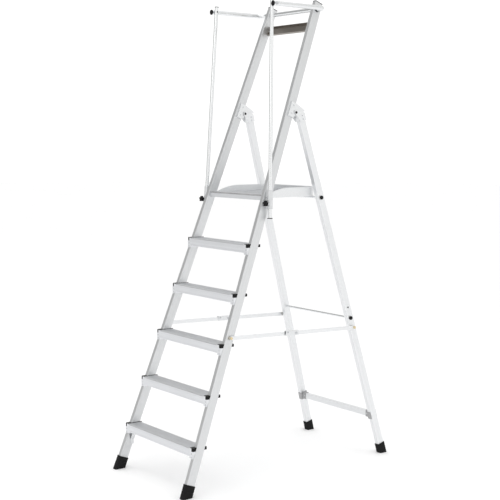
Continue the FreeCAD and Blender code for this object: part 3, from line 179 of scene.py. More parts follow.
def vector_node(tree, operation, first, second=None, scale=None):
    """A Vector Math node; returns its output (a value for DOT_PRODUCT)."""
    node = tree.nodes.new("ShaderNodeVectorMath")
    node.operation = operation
    for slot, value in enumerate((first, second)):
        if isinstance(value, bpy.types.NodeSocket):
            tree.links.new(value, node.inputs[slot])
        elif value is not None:
            node.inputs[slot].default_value = value
    if isinstance(scale, bpy.types.NodeSocket):
        tree.links.new(scale, node.inputs["Scale"])
    elif scale is not None:
        node.inputs["Scale"].default_value = scale
    return node.outputs["Value" if operation == "DOT_PRODUCT" else "Vector"]


def noise(tree, vector, scale, detail=2.0, roughness=0.5):
    """A noise texture; returns its value."""
    node = tree.nodes.new("ShaderNodeTexNoise")
    tree.links.new(vector, node.inputs["Vector"])
    if isinstance(scale, bpy.types.NodeSocket):
        tree.links.new(scale, node.inputs["Scale"])
    else:
        node.inputs["Scale"].default_value = scale
    node.inputs["Detail"].default_value = detail
    node.inputs["Roughness"].default_value = roughness
    return node.outputs["Fac"]


def remap(tree, value, low, high, to_low=0.0, to_high=1.0):
    """A value stretched from one range to another, and held inside it."""
    node = tree.nodes.new("ShaderNodeMapRange")
    tree.links.new(value, node.inputs["Value"])
    for label, number in (("From Min", low), ("From Max", high), ("To Min", to_low), ("To Max", to_high)):
        node.inputs[label].default_value = number
    return node.outputs["Result"]


def place(tree):
    """A point's place on the piece itself, which moves with the piece."""
    return tree.nodes.new("ShaderNodeTexCoord").outputs["Object"]


LINE_STRETCH = 0.994
BROAD_LINES = 0.12
FINE_SHARE = 0.35


def build_drawn_lines():
    """Fine lines along one direction, as an extrusion die or a brush leaves them."""
    tree, given, out = new_group("drawn_lines", (
        ("Along", "NodeSocketVector", (0, 0, 1)), ("Spacing", "NodeSocketFloat", 0.001)), (
        ("Height", "NodeSocketFloat"), ("Tone", "NodeSocketFloat")))
    point = place(tree)
    distance = vector_node(tree, "DOT_PRODUCT", point, given.outputs["Along"])
    reach = math_node(tree, "MULTIPLY", distance, LINE_STRETCH)
    shift = vector_node(tree, "SCALE", given.outputs["Along"], scale=reach)
    squeezed = vector_node(tree, "SUBTRACT", point, shift)
    scale = math_node(tree, "DIVIDE", 1.0, given.outputs["Spacing"])
    fine = noise(tree, squeezed, scale, 3.0, 0.6)
    broad = noise(tree, squeezed, math_node(tree, "MULTIPLY", scale, BROAD_LINES), 2.0)
    tree.links.new(fine, out.inputs["Height"])
    fine_share = math_node(tree, "MULTIPLY", fine, FINE_SHARE)
    broad_share = math_node(tree, "MULTIPLY", broad, 1 - FINE_SHARE)
    tree.links.new(math_node(tree, "ADD", fine_share, broad_share), out.inputs["Tone"])
    return tree


def build_soft_edges():
    """Rounded edges for shading, and a mask of the places where an edge is rubbed."""
    tree, given, out = new_group("soft_edges", (
        ("Radius", "NodeSocketFloat", 0.0006), ("Amount", "NodeSocketFloat", 0.3)), (
        ("Normal", "NodeSocketVector"), ("Wear", "NodeSocketFloat")))
    bevel = tree.nodes.new("ShaderNodeBevel")
    bevel.samples = 4
    tree.links.new(given.outputs["Radius"], bevel.inputs["Radius"])
    surface = tree.nodes.new("ShaderNodeNewGeometry").outputs["Normal"]
    facing = vector_node(tree, "DOT_PRODUCT", bevel.outputs["Normal"], surface)
    edge = remap(tree, facing, 0.995, 0.8)
    patches = remap(tree, noise(tree, place(tree), 45.0, 3.0, 0.6), 0.4, 0.65)
    rubbed = math_node(tree, "MULTIPLY", math_node(tree, "MULTIPLY", edge, patches), given.outputs["Amount"])
    tree.links.new(bevel.outputs["Normal"], out.inputs["Normal"])
    tree.links.new(rubbed, out.inputs["Wear"])
    return tree


def build_handling():
    """Broad soft marks of hands and wiping, from 0 to 1."""
    tree, given, out = new_group("handling", (("Size", "NodeSocketFloat", 0.12),),
                                 (("Marks", "NodeSocketFloat"),))
    scale = math_node(tree, "DIVIDE", 1.0, given.outputs["Size"])
    broad = noise(tree, place(tree), scale, 4.0, 0.55)
    tree.links.new(remap(tree, broad, 0.3, 0.7), out.inputs["Marks"])
    return tree


def build_grains():
    """Small rounded grains standing side by side, for grit, castings and moulded plastic."""
    tree, given, out = new_group("grains", (("Size", "NodeSocketFloat", 0.001),), (
        ("Height", "NodeSocketFloat"), ("Tone", "NodeSocketFloat")))
    scale = math_node(tree, "DIVIDE", 1.0, given.outputs["Size"])
    cells = tree.nodes.new("ShaderNodeTexVoronoi")
    tree.links.new(place(tree), cells.inputs["Vector"])
    tree.links.new(scale, cells.inputs["Scale"])
    height = remap(tree, cells.outputs["Distance"], 0.0, 0.7, 1.0, 0.0)
    tree.links.new(height, out.inputs["Height"])
    parts = tree.nodes.new("ShaderNodeSeparateColor")
    tree.links.new(cells.outputs["Color"], parts.inputs["Color"])
    tree.links.new(parts.outputs["Red"], out.inputs["Tone"])
    return tree


def build_dust():
    """Pale dust that settles on faces that look up, thicker in patches."""
    tree, given, out = new_group("dust", (("Amount", "NodeSocketFloat", 0.3),),
                                 (("Mask", "NodeSocketFloat"),))
    facing = tree.nodes.new("ShaderNodeSeparateXYZ")
    tree.links.new(tree.nodes.new("ShaderNodeTexCoord").outputs["Normal"], facing.inputs["Vector"])
    level = remap(tree, facing.outputs["Z"], 0.3, 1.0)
    patches = remap(tree, noise(tree, place(tree), 14.0, 5.0, 0.6), 0.35, 0.75)
    lying = math_node(tree, "MULTIPLY", level, patches)
    covered = math_node(tree, "MULTIPLY", lying, given.outputs["Amount"])
    tree.links.new(covered, out.inputs["Mask"])
    return tree


GROUP_BUILDERS = {"drawn_lines": build_drawn_lines, "soft_edges": build_soft_edges,
                  "handling": build_handling, "grains": build_grains, "dust": build_dust}


def effect(material, name, **values):
    """One of the shared groups placed in a material with its own values."""
    tree = material.node_tree
    node = tree.nodes.new("ShaderNodeGroup")
    node.node_tree = bpy.data.node_groups.get(name) or GROUP_BUILDERS[name]()
    for label, value in values.items():
        node.inputs[label.capitalize()].default_value = value
    return node.outputs


# ---- finishes ----

METAL_DUST = (0.62, 0.61, 0.59)
PLASTIC_DUST = (0.42, 0.41, 0.39)
LINE_DEPTH = 0.06 * MM
CRYSTAL_DEPTH = 0.04 * MM
CAST_DEPTH = 0.08 * MM
GRAIN_DEPTH = 0.06 * MM


def new_material(name, base, metallic=0.0, roughness=0.5):
    """A material with its Principled shader; returns the material, its tree and the shader."""
    material = bpy.data.materials.new(name)
    material.use_nodes = True
    shader = material.node_tree.nodes["Principled BSDF"]
    shader.inputs["Base Color"].default_value = (*base, 1.0)
    shader.inputs["Metallic"].default_value = metallic
    shader.inputs["Roughness"].default_value = roughness
    return material, material.node_tree, shader


def blend_colour(tree, share_of_second, first, second):
    """A colour between two; the share and the first colour may be sockets."""
    node = tree.nodes.new("ShaderNodeMix")
    node.data_type = "RGBA"
    tree.links.new(share_of_second, node.inputs["Factor"])
    for socket, value in ((node.inputs[6], first), (node.inputs[7], second)):
        if isinstance(value, bpy.types.NodeSocket):
            tree.links.new(value, socket)
        else:
            socket.default_value = (*value, 1.0)
    return node.outputs[2]


def shade(base, factor):
    """A colour made darker or lighter."""
    return tuple(min(1.0, channel * factor) for channel in base)


def add_bump(tree, shader, height, distance, strength, normal):
    """Feed a height through a Bump node, on top of a normal, into the shader."""
    bump = tree.nodes.new("ShaderNodeBump")
    bump.inputs["Distance"].default_value = distance
    bump.inputs["Strength"].default_value = strength
    tree.links.new(height, bump.inputs["Height"])
    tree.links.new(normal, bump.inputs["Normal"])
    tree.links.new(bump.outputs["Normal"], shader.inputs["Normal"])


def drawn_metal(name, base, along, roughness=0.34, contrast=0.1, dust=0.0):
    """Extruded or rolled metal: lines along one direction, handling marks and bright rubbed edges."""
    sizes = bpy.context.scene.ladder_sizes
    material, tree, shader = new_material(name, base, 1.0, roughness)
    lines = effect(material, "drawn_lines", along=along, spacing=sizes.line_spacing)
    edges = effect(material, "soft_edges", radius=sizes.edge_radius, amount=sizes.wear)
    marks = effect(material, "handling", size=0.16)["Marks"]
    tinted = blend_colour(tree, lines["Tone"], shade(base, 1 - contrast), shade(base, 1 + contrast))
    worn = blend_colour(tree, edges["Wear"], tinted, shade(base, 1.15))
    if dust:
        worn = blend_colour(tree, effect(material, "dust", amount=dust)["Mask"], worn, METAL_DUST)
    tree.links.new(worn, shader.inputs["Base Color"])
    rough = math_node(tree, "ADD", math_node(tree, "MULTIPLY", lines["Tone"], 0.16),
                      math_node(tree, "MULTIPLY_ADD", marks, 0.08, roughness - 0.12))
    tree.links.new(rough, shader.inputs["Roughness"])
    add_bump(tree, shader, lines["Height"], LINE_DEPTH, 0.5, edges["Normal"])
    return material


def plated_steel(name, base, roughness=0.3):
    """Zinc plated steel with a faint crystalline tone."""
    sizes = bpy.context.scene.ladder_sizes
    material, tree, shader = new_material(name, base, 1.0, roughness)
    crystals = effect(material, "grains", size=0.0022)
    edges = effect(material, "soft_edges", radius=sizes.edge_radius, amount=sizes.wear)
    tinted = blend_colour(tree, crystals["Tone"], shade(base, 0.86), shade(base, 1.12))
    tree.links.new(blend_colour(tree, edges["Wear"], tinted, shade(base, 1.2)), shader.inputs["Base Color"])
    rough = math_node(tree, "MULTIPLY_ADD", crystals["Tone"], 0.14, roughness - 0.07)
    tree.links.new(rough, shader.inputs["Roughness"])
    add_bump(tree, shader, crystals["Height"], CRYSTAL_DEPTH, 0.3, edges["Normal"])
    return material


def cast_metal(name, base):
    """Cast and tumbled metal with a fine skin."""
    sizes = bpy.context.scene.ladder_sizes
    material, tree, shader = new_material(name, base, 1.0, 0.45)
    skin = effect(material, "grains", size=0.0009)
    edges = effect(material, "soft_edges", radius=1.5 * sizes.edge_radius, amount=sizes.wear)
    marks = effect(material, "handling", size=0.03)["Marks"]
    tinted = blend_colour(tree, marks, shade(base, 0.9), shade(base, 1.06))
    tree.links.new(blend_colour(tree, edges["Wear"], tinted, shade(base, 1.2)), shader.inputs["Base Color"])
    tree.links.new(math_node(tree, "MULTIPLY_ADD", skin["Tone"], 0.12, 0.38), shader.inputs["Roughness"])
    add_bump(tree, shader, skin["Height"], CAST_DEPTH, 0.5, edges["Normal"])
    return material


def moulded(name, base, roughness, tones=(0.3, 0.55), grain=0.0006, dust=0.08):
    """Moulded plastic or rubber with a fine grain, scuffed edges and a little dust on top."""
    sizes = bpy.context.scene.ladder_sizes
    material, tree, shader = new_material(name, base, 0.0, roughness)
    skin = effect(material, "grains", size=grain)
    edges = effect(material, "soft_edges", radius=1.5 * sizes.edge_radius, amount=0.5)
    marks = effect(material, "handling", size=0.05)["Marks"]
    shader.inputs["Specular IOR Level"].default_value = 0.14
    tinted = blend_colour(tree, marks, shade(base, tones[0]), shade(base, tones[1]))
    scuffed = blend_colour(tree, edges["Wear"], tinted, shade(base, 1.9))
    dusty = blend_colour(tree, effect(material, "dust", amount=dust)["Mask"], scuffed, PLASTIC_DUST)
    tree.links.new(dusty, shader.inputs["Base Color"])
    tree.links.new(math_node(tree, "MULTIPLY_ADD", marks, 0.15, roughness - 0.06), shader.inputs["Roughness"])
    add_bump(tree, shader, skin["Height"], GRAIN_DEPTH, 0.4, edges["Normal"])
    return material


def long_axis(node):
    """The direction in which a node's mesh is longest."""
    points = np.empty(3 * len(node.data.vertices))
    node.data.vertices.foreach_get("co", points)
    points = points.reshape(-1, 3)
    _, _, directions = np.linalg.svd(points - points.mean(axis=0), full_matrices=False)
    return tuple(float(value) for value in directions[0])


# The dark_aluminium colour of the cross bar is a painted reflection of dark surroundings.
DRAWN_SLOTS = {"frame_aluminium": {"roughness": 0.46}, "tread_aluminium": {"dust": 0.3, "roughness": 0.42},
               "dark_aluminium": {"contrast": 0.18}, "zinc_steel": {}}
POLISHED = ("guard_", "middle_rod", "support_rod")
WORN_DECK = {"dust": 0.15, "roughness": 0.5, "contrast": 0.16}
DECK_SHADE = 0.96
# Painted shade: the stiles' colour is made 15 % darker than the other frame metal, to stand for the weaker
# light that falls on them.
STILE_PAINTED_SHADE = 0.85
PLATED_SLOTS = ("bolt_steel", "yellow_zinc", "rivet_aluminium", "dark_steel")
MOULDED = {"boot_rubber": {"roughness": 0.72}, "black_plastic": {"roughness": 0.5},
           "knob_plastic": {"roughness": 0.42}, "grey_plastic": {"roughness": 0.5, "tones": (1.1, 1.45)}}


def finish_for(slot, node):
    """The finish of a node; drawn metal gets one for each node, as its lines follow the node's length."""
    base = tuple(getattr(bpy.context.scene.ladder_colours, slot))
    if node.name.startswith("platform_deck") or node.name == "deck_studs":
        return drawn_metal(f"{node.name}_{slot}", shade(base, DECK_SHADE), (1, 0, 0), **WORN_DECK)
    # Stiles get painted shade: their colour is darkened to stand for the lower light on them.
    if node.name.startswith(("stile_left", "stile_right")):
        return drawn_metal(f"{node.name}_{slot}", shade(base, STILE_PAINTED_SHADE), long_axis(node), roughness=0.46)
    if slot == "frame_aluminium" and node.name.startswith(POLISHED):
        return drawn_metal(f"{node.name}_{slot}", base, long_axis(node), roughness=0.2, contrast=0.06)
    if slot in DRAWN_SLOTS:
        return drawn_metal(f"{node.name}_{slot}", base, long_axis(node), **DRAWN_SLOTS[slot])
    name = f"ladder_{slot}"
    ready = bpy.data.materials.get(name)
    if ready:
        return ready
    if slot in PLATED_SLOTS:
        return plated_steel(name, base)
    if slot == "cast_aluminium":
        return cast_metal(name, base)
    return moulded(name, base, **MOULDED[slot])


class LADDER_OT_finishes(bpy.types.Operator):
    """Give every carried-over piece of the ladder its finish"""
    bl_idname = "ladder.finishes"
    bl_label = "Finish the metal and plastic pieces"

    def execute(self, context):
        for name, node in NODES.items():
            node.data.materials.clear()
            node.data.materials.append(finish_for(SLOT_OF[name], node))
        return {"FINISHED"}


# ---- small fittings ----

def solids_of(node):
    """The points of each separate solid in a node's mesh."""
    mesh = node.data
    points = np.empty(3 * len(mesh.vertices))
    mesh.vertices.foreach_get("co", points)
    merged, index = np.unique(points.reshape(-1, 3).round(6), axis=0, return_inverse=True)
    corners = np.empty(len(mesh.loops), int)
    mesh.loops.foreach_get("vertex_index", corners)
    triangles = index.ravel()[corners].reshape(-1, 3)
    label = np.arange(len(merged))
    while True:
        lower = label.copy()
        np.minimum.at(lower, triangles.ravel(), np.repeat(label[triangles].min(axis=1), 3))
        if (lower == label).all():
            return [merged[label == value] for value in np.unique(label)]
        label = lower


def ends_of(points):
    """The two flat ends of a round fastener: radius, centre and outward direction, the wider end first."""
    middle = points.mean(axis=0)
    axis = np.linalg.svd(points - middle, full_matrices=False)[2][0]
    found = []
    for direction in (axis, -axis):
        reach = (points - middle) @ direction
        face = points[reach > reach.max() - 0.3 * MM]
        centre = face.mean(axis=0)
        normal = np.linalg.svd(face - centre, full_matrices=False)[2][2]
        if normal @ direction < 0:
            normal = -normal
        found.append((np.linalg.norm(face - centre, axis=1).max(), Vector(centre), Vector(normal)))
    return sorted(found, key=lambda end: -end[0])


def facing(centre, direction):
    """A matrix whose Z axis points in a direction."""
    return Matrix.Translation(centre) @ direction.to_track_quat("Z", "Y").to_matrix().to_4x4()


def turned(profile, sides=24):
    """Rings of a turned form; a profile row is radius, height and corners, where 0 corners is round."""
    rings = []
    for radius, height, corners in profile:
        ring = []
        for k in range(sides):
            angle = 2 * math.pi * k / sides
            reach = radius
            if corners:
                half = math.pi / corners
                reach *= math.cos(half) / math.cos(angle % (2 * half) - half)
            ring.append((reach * math.cos(angle), reach * math.sin(angle), height))
        rings.append(ring)
    return rings


def loft(builder, rings, matrix=Matrix.Identity(4), close_start=False):
    """Skin closed rings of points in order, with a face over the last one."""
    rows = [[builder.verts.new(matrix @ Vector(point)) for point in ring] for ring in rings]
    for row, following in zip(rows, rows[1:]):
        for k in range(len(row)):
            builder.faces.new((row[k - 1], row[k], following[k], following[k - 1]))
    builder.faces.new(rows[-1])
    if close_start:
        builder.faces.new(reversed(rows[0]))


SHARP_ANGLE = math.radians(35)


def new_piece(name, builder, body, slot, replaced=()):
    """Make the piece, give it its finish, and let it ride on its body."""
    bmesh.ops.recalc_face_normals(builder, faces=builder.faces)
    mesh = bpy.data.meshes.new(name)
    builder.to_mesh(mesh)
    builder.free()
    for polygon in mesh.polygons:
        polygon.use_smooth = True
    mesh.set_sharp_from_angle(angle=SHARP_ANGLE)
    piece = bpy.data.objects.new(name, mesh)
    bpy.context.collection.objects.link(piece)
    mesh.materials.append(finish_for(slot, piece))
    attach(piece, body)
    if replaced:
        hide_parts(*replaced)


def rounded_rectangle(half_x, half_y, radius, steps=5):
    """Points round a rectangle with rounded corners."""
    points = []
    for quarter, (sign_x, sign_y) in enumerate(((1, 1), (-1, 1), (-1, -1), (1, -1))):
        for k in range(steps):
            angle = math.pi / 2 * (quarter + k / (steps - 1))
            points.append((sign_x * (half_x - radius) + radius * math.cos(angle),
                           sign_y * (half_y - radius) + radius * math.sin(angle)))
    return points


BOOT_CORNER = 5 * MM
BOOT_WALL = 3.9 * MM
BOOT_MOUTH = ((BOOT_WALL, 6 * MM), (BOOT_WALL, 0.7 * MM), (BOOT_WALL - 0.7 * MM, 0.0), (0.8 * MM, 0.0),
              (0.0, 0.8 * MM))
BOOT_GROOVES = 4
GROOVE_PITCH = 8 * MM
SOLE_GROOVE = (7 * MM, 8 * MM, 10 * MM, 11 * MM)
SOLE_GROOVE_DEPTH = 1.5 * MM


def boot_rings(points, along, sizes):
    """Rings of a moulded boot around a leaning tube, from inside its mouth down to its sole."""
    deep = Vector((0, along.z, -along.y)).normalized()
    across = deep.cross(along)
    axes = np.array((across, deep, along))
    low, high = (points @ axes.T).min(axis=0), (points @ axes.T).max(axis=0)
    half_x, half_y = (high[0] - low[0]) / 2, (high[1] - low[1]) / 2
    centre = across * (low[0] + high[0]) / 2 + deep * (low[1] + high[1]) / 2

    def ring(inset, below_top=None, above_floor=None):
        flat = rounded_rectangle(half_x - inset, half_y - inset, max(BOOT_CORNER - inset, 0.5 * MM))
        found = []
        for x, y in flat:
            point = centre + across * x + deep * y
            level = high[2] - below_top if above_floor is None else (above_floor - point.z) / along.z
            found.append(point + along * level)
        return found

    rings = [ring(inset, below_top) for inset, below_top in BOOT_MOUTH]
    depth = sizes.boot_groove
    for k in range(BOOT_GROOVES):
        start = sizes.boot_lip + k * GROOVE_PITCH
        rings += [ring(0.0, start), ring(depth, start + depth), ring(depth, start + 3 * depth),
                  ring(0.0, start + 4 * depth)]
    rings += [ring(0.0, above_floor=1.0 * MM), ring(0.8 * MM, above_floor=0.0)]
    for inset, rise in zip(SOLE_GROOVE, (0.0, SOLE_GROOVE_DEPTH, SOLE_GROOVE_DEPTH, 0.0)):
        rings.append(ring(inset, above_floor=rise))
    return rings


class LADDER_OT_boots(bpy.types.Operator):
    """Mould the four rubber boots, grooved round their sides and under their soles"""
    bl_idname = "ladder.boots"
    bl_label = "Rubber boots"

    def execute(self, context):
        for node in ("front_boots", "rear_boots"):
            mesh = NODES[node].data
            tops = [face for face in mesh.polygons if 0.5 < face.normal.z < 0.99]
            builder = bmesh.new()
            for points in solids_of(NODES[node]):
                side = math.copysign(1, points[:, 0].mean())
                along = next(face.normal.copy() for face in tops if face.center.x * side > 0)
                loft(builder, boot_rings(points, along, context.scene.ladder_sizes))
            new_piece(f"moulded_{node}", builder, BODY_OF[node], SLOT_OF[node], (node,))
        return {"FINISHED"}


RIVET_NODES = ("frame_rivets", "rear_frame_rivets", "platform_rivets")
BOLT_NODES = ("hinge_pins", "leg_stop_bolts", "stay_front_bolts", "stay_rear_bolt_left",
              "stay_rear_bolt_right", "rod_bolts", "platform_bolts")


def mandrel_mark(radius):
    """Profile of a blind rivet's rolled lip around the broken mandrel."""
    return ((0.62 * radius, 0.0, 0), (0.56 * radius, 0.22 * MM, 0), (0.44 * radius, 0.26 * MM, 0),
            (0.38 * radius, 0.06 * MM, 0), (0.16 * radius, 0.06 * MM, 0), (0.1 * radius, 0.18 * MM, 0))


def socket_face(radius):
    """Profile of a bolt's chamfered top with its six-sided socket."""
    return ((0.985 * radius, -0.6 * MM, 0), (0.985 * radius, 0.35 * MM, 0), (0.86 * radius, 0.9 * MM, 0),
            (0.56 * radius, 0.9 * MM, 6), (0.5 * radius, 0.75 * MM, 6), (0.5 * radius, 0.08 * MM, 6))


def add_faces(name, node, profile, both_ends=False):
    """Put a turned form on the wider end of every fastener in a node."""
    builder = bmesh.new()
    for points in solids_of(NODES[node]):
        for radius, centre, direction in ends_of(points)[:2 if both_ends else 1]:
            loft(builder, turned(profile(radius)), facing(centre, direction))
    new_piece(name, builder, BODY_OF[node], SLOT_OF[node])


class LADDER_OT_rivets(bpy.types.Operator):
    """Mark every rivet head with its rolled lip and broken mandrel"""
    bl_idname = "ladder.rivets"
    bl_label = "Rivet heads"

    def execute(self, context):
        for node in RIVET_NODES:
            add_faces(f"{node}_marks", node, mandrel_mark)
        return {"FINISHED"}


class LADDER_OT_bolts(bpy.types.Operator):
    """Give the bolts and pins chamfered heads with a six-sided socket"""
    bl_idname = "ladder.bolts"
    bl_label = "Bolt heads"

    def execute(self, context):
        for node in BOLT_NODES:
            add_faces(f"{node}_sockets", node, socket_face, node == "hinge_pins")
        return {"FINISHED"}


class LADDER_OT_knobs(bpy.types.Operator):
    """Press a dished hub cap into the middle of each star knob"""
    bl_idname = "ladder.knobs"
    bl_label = "Knob hubs"

    def execute(self, context):
        rise = context.scene.ladder_sizes.hub_rise

        def hub(radius):
            return ((0.6 * radius, 0.0, 0), (0.59 * radius, 0.5 * rise, 0), (0.54 * radius, 0.9 * rise, 0),
                    (0.48 * radius, rise, 0), (0.42 * radius, 0.75 * rise, 0), (0.3 * radius, 0.6 * rise, 0),
                    (0.24 * radius, 0.72 * rise, 0), (0.1 * radius, 0.8 * rise, 0))

        for side in ("left", "right"):
            add_faces(f"knob_hub_{side}", f"star_knob_{side}", hub)
        return {"FINISHED"}


RIB_HEIGHT = 1.2 * MM
LEVEL_TOLERANCE = 0.1 * MM


def surface_under(tree, x, y, top):
    """Height of the surface below a point, or None."""
    hit = tree.ray_cast(Vector((x, y, top)), Vector((0, 0, -1)))[0]
    return hit.z if hit else None


def groove_lines(tree, x, low, high, top, floor_level):
    """Y of the middle of each groove between ribs, along a line at x."""
    step = 0.5 * MM
    lines = []
    run = []
    for k in range(int((high - low) / step)):
        y = low + k * step
        level = surface_under(tree, x, y, top)
        if level is not None and abs(level - floor_level) < LEVEL_TOLERANCE:
            run.append(y)
        elif run:
            lines.append((run[0] + run[-1]) / 2)
            run = []
    return lines


class LADDER_OT_deck(bpy.types.Operator):
    """Press rows of non-slip studs between the ribs of the platform's deck"""
    bl_idname = "ladder.deck"
    bl_label = "Deck studs"

    def execute(self, context):
        sizes = context.scene.ladder_sizes
        deck = NODES["platform_deck"]
        tree = BVHTree.FromPolygons([vertex.co for vertex in deck.data.vertices],
                                    [tuple(face.vertices) for face in deck.data.polygons])
        low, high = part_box("platform_deck")
        above = high[2] + 0.01
        floor_level = high[2] - RIB_HEIGHT
        profile = ((sizes.stud_radius, -0.2 * MM, 0), (sizes.stud_radius, 0.1 * MM, 0),
                   (0.6 * sizes.stud_radius, sizes.stud_height, 0))
        builder = bmesh.new()
        for row, y in enumerate(groove_lines(tree, 0.0, low[1], high[1], above, floor_level)):
            count = int((high[0] - low[0]) / sizes.stud_spacing)
            for k in range(-count, count + 1):
                x = (k + 0.5 * (row % 2)) * sizes.stud_spacing
                margins = [surface_under(tree, x + side * 2 * sizes.stud_radius, y, above) for side in SIDES]
                if all(level is not None and abs(level - floor_level) < LEVEL_TOLERANCE for level in margins):
                    loft(builder, turned(profile, 7), Matrix.Translation((x, y, floor_level)))
        new_piece("deck_studs", builder, BODY_OF["platform_deck"], SLOT_OF["platform_deck"])
        return {"FINISHED"}


CAP_BLOCK_START = 14 * MM
CAP_RIB_PLACES = (0.2875, 0.475, 0.6625)
CAP_RIB_RADIUS = 1.1 * MM
CAP_RIB_SINK = 0.1 * MM
CAP_RIB_LEVELS = ((0.12, 0.0), (0.2, 0.8), (0.3, 1.0), (0.7, 1.0), (0.8, 0.8), (0.88, 0.0))
CAP_RIB_ANGLES = (0.0, 0.8, 1.57, 2.34, math.pi)


class LADDER_OT_caps(bpy.types.Operator):
    """Mould upright ribs on the front of every tread's end caps"""
    bl_idname = "ladder.caps"
    bl_label = "End cap ribs"

    def execute(self, context):
        rise = context.scene.ladder_sizes.cap_rib
        builder = bmesh.new()
        for points in solids_of(NODES["tread_caps"]):
            low, high = points.min(axis=0), points.max(axis=0)
            side = math.copysign(1, low[0])
            inner, outer = sorted((abs(low[0]), abs(high[0])))
            start = inner + CAP_BLOCK_START
            for along in CAP_RIB_PLACES:
                x = side * (start + along * (outer - start))
                rings = []
                for level, swell in CAP_RIB_LEVELS:
                    z = low[2] + level * (high[2] - low[2])
                    rings.append([(x + CAP_RIB_RADIUS * math.cos(angle),
                                   low[1] + CAP_RIB_SINK - rise * swell * math.sin(angle), z)
                                  for angle in CAP_RIB_ANGLES])
                loft(builder, rings, close_start=True)
        new_piece("tread_cap_ribs", builder, BODY_OF["tread_caps"], SLOT_OF["tread_caps"])
        return {"FINISHED"}


GRIP_RIBS = 4
GRIP_MARGIN = 5 * MM
GRIP_START, GRIP_SPAN = 0.08, 0.84
GRIP_UNDERSIDE, GRIP_BED = -0.3, 0.25
GRIP_RIB_PROFILE = ((0.12, 0.3), (0.3, 1.0), (0.65, 1.0), (0.85, 0.3))


class LADDER_OT_grip(bpy.types.Operator):
    """Lay a ribbed grip strip on the slope of the platform's nosing"""
    bl_idname = "ladder.grip"
    bl_label = "Nosing grip"

    def execute(self, context):
        rise = context.scene.ladder_sizes.grip_rib
        mesh = NODES["platform_nosing"].data
        slopes = [face for face in mesh.polygons if face.normal.y < -0.5 and face.normal.z > 0.5]
        corners = np.array([mesh.vertices[index].co for face in slopes for index in face.vertices])
        outwards = slopes[0].normal
        foot, head = corners[corners[:, 2].argmin()], corners[corners[:, 2].argmax()]
        low, high = corners[:, 0].min() + GRIP_MARGIN, corners[:, 0].max() - GRIP_MARGIN
        outline = [(0.0, GRIP_UNDERSIDE), (0.0, GRIP_BED)]
        for k in range(GRIP_RIBS):
            start = k / GRIP_RIBS
            outline += [(start + along / GRIP_RIBS, level) for along, level in GRIP_RIB_PROFILE]
        outline += [(1.0, GRIP_BED), (1.0, GRIP_UNDERSIDE)]
        rings = []
        for x in (low, high):
            ring = []
            for along, level in outline:
                y, z = (foot + (GRIP_START + GRIP_SPAN * along) * (head - foot))[1:]
                ring.append((x, y + level * rise * outwards.y, z + level * rise * outwards.z))
            rings.append(ring)
        builder = bmesh.new()
        loft(builder, rings, close_start=True)
        new_piece("nosing_grip", builder, BODY_OF["platform_nosing"], "grey_plastic")
        return {"FINISHED"}


# ---- stage ----

class LADDER_OT_stage(bpy.types.Operator):
    """Make the pale floor, the soft lights and the camera"""
    bl_idname = "ladder.stage"
    bl_label = "Floor, lights and camera"

    def execute(self, context):
        settings = context.scene.stage_settings
        make_floor(settings)
        make_world()
        make_lights()
        make_camera(settings)
        context.scene.view_settings.view_transform = "Standard"
        return {"FINISHED"}


def make_floor(settings):
    """A round floor with a faint mottle."""
    mesh = bpy.data.meshes.new("studio_floor")
    builder = bmesh.new()
    bmesh.ops.create_circle(builder, cap_ends=True, radius=settings.floor_radius, segments=96)
    builder.to_mesh(mesh)
    builder.free()
    floor = bpy.data.objects.new("studio_floor", mesh)
    bpy.context.collection.objects.link(floor)
    material, tree, shader = new_material("floor_paint", settings.floor_colour, 0.0, 0.9)
    marks = effect(material, "handling", size=0.8)["Marks"]
    tree.links.new(blend_colour(tree, marks, shade(settings.floor_colour, 0.985), settings.floor_colour),
                   shader.inputs["Base Color"])
    mesh.materials.append(material)


SURROUNDINGS = (1.1, 1.1, 1.1)
SKY_FOOT, SKY_HEAD = -0.2, 0.9
SKY_TONES = ((0.0, 0.85), (0.25, 0.95), (0.6, 0.85))
SKY_WARMTH = 0.985
SCREEN_COLOUR = (0.03, 0.03, 0.03)
SCREEN_DIRECTION = (-0.79, -0.53, 0.45)
SCREEN_EDGE, SCREEN_CORE, SCREEN_DEPTH = 0.75, 0.95, 0.55


def make_world():
    """White surroundings; the metal mirrors a slightly greyer sky, white overhead, with one dark screen."""
    world = bpy.data.worlds.new("studio")
    bpy.context.scene.world = world
    world.use_nodes = True
    tree = world.node_tree
    background = tree.nodes["Background"]
    direction = tree.nodes.new("ShaderNodeSeparateXYZ")
    rays = tree.nodes.new("ShaderNodeTexCoord").outputs["Generated"]
    tree.links.new(rays, direction.inputs["Vector"])
    height = remap(tree, direction.outputs["Z"], SKY_FOOT, SKY_HEAD)
    ramp = tree.nodes.new("ShaderNodeValToRGB")
    tree.links.new(height, ramp.inputs["Fac"])
    stops = ramp.color_ramp.elements
    for level, tone in SKY_TONES:
        stop = stops.new(level) if level else stops[0]
        stop.color = (tone, tone, SKY_WARMTH * tone, 1.0)
    mirrored = tree.nodes.new("ShaderNodeLightPath").outputs["Is Glossy Ray"]
    towards_screen = vector_node(tree, "DOT_PRODUCT", rays, tuple(Vector(SCREEN_DIRECTION).normalized()))
    covered = remap(tree, towards_screen, SCREEN_EDGE, SCREEN_CORE, 0.0, SCREEN_DEPTH)
    screened = blend_colour(tree, covered, ramp.outputs["Color"], SCREEN_COLOUR)
    lit = blend_colour(tree, mirrored, SURROUNDINGS, screened)
    tree.links.new(lit, background.inputs["Color"])


def add_area(name, centre, towards, size, power):
    """A large soft light."""
    light = bpy.data.lights.new(name, "AREA")
    light.shape = "RECTANGLE"
    light.size, light.size_y = size
    light.energy = power
    lamp = bpy.data.objects.new(name, light)
    lamp.location = centre
    lamp.rotation_euler = (Vector(towards) - Vector(centre)).to_track_quat("-Z", "Y").to_euler()
    bpy.context.collection.objects.link(lamp)


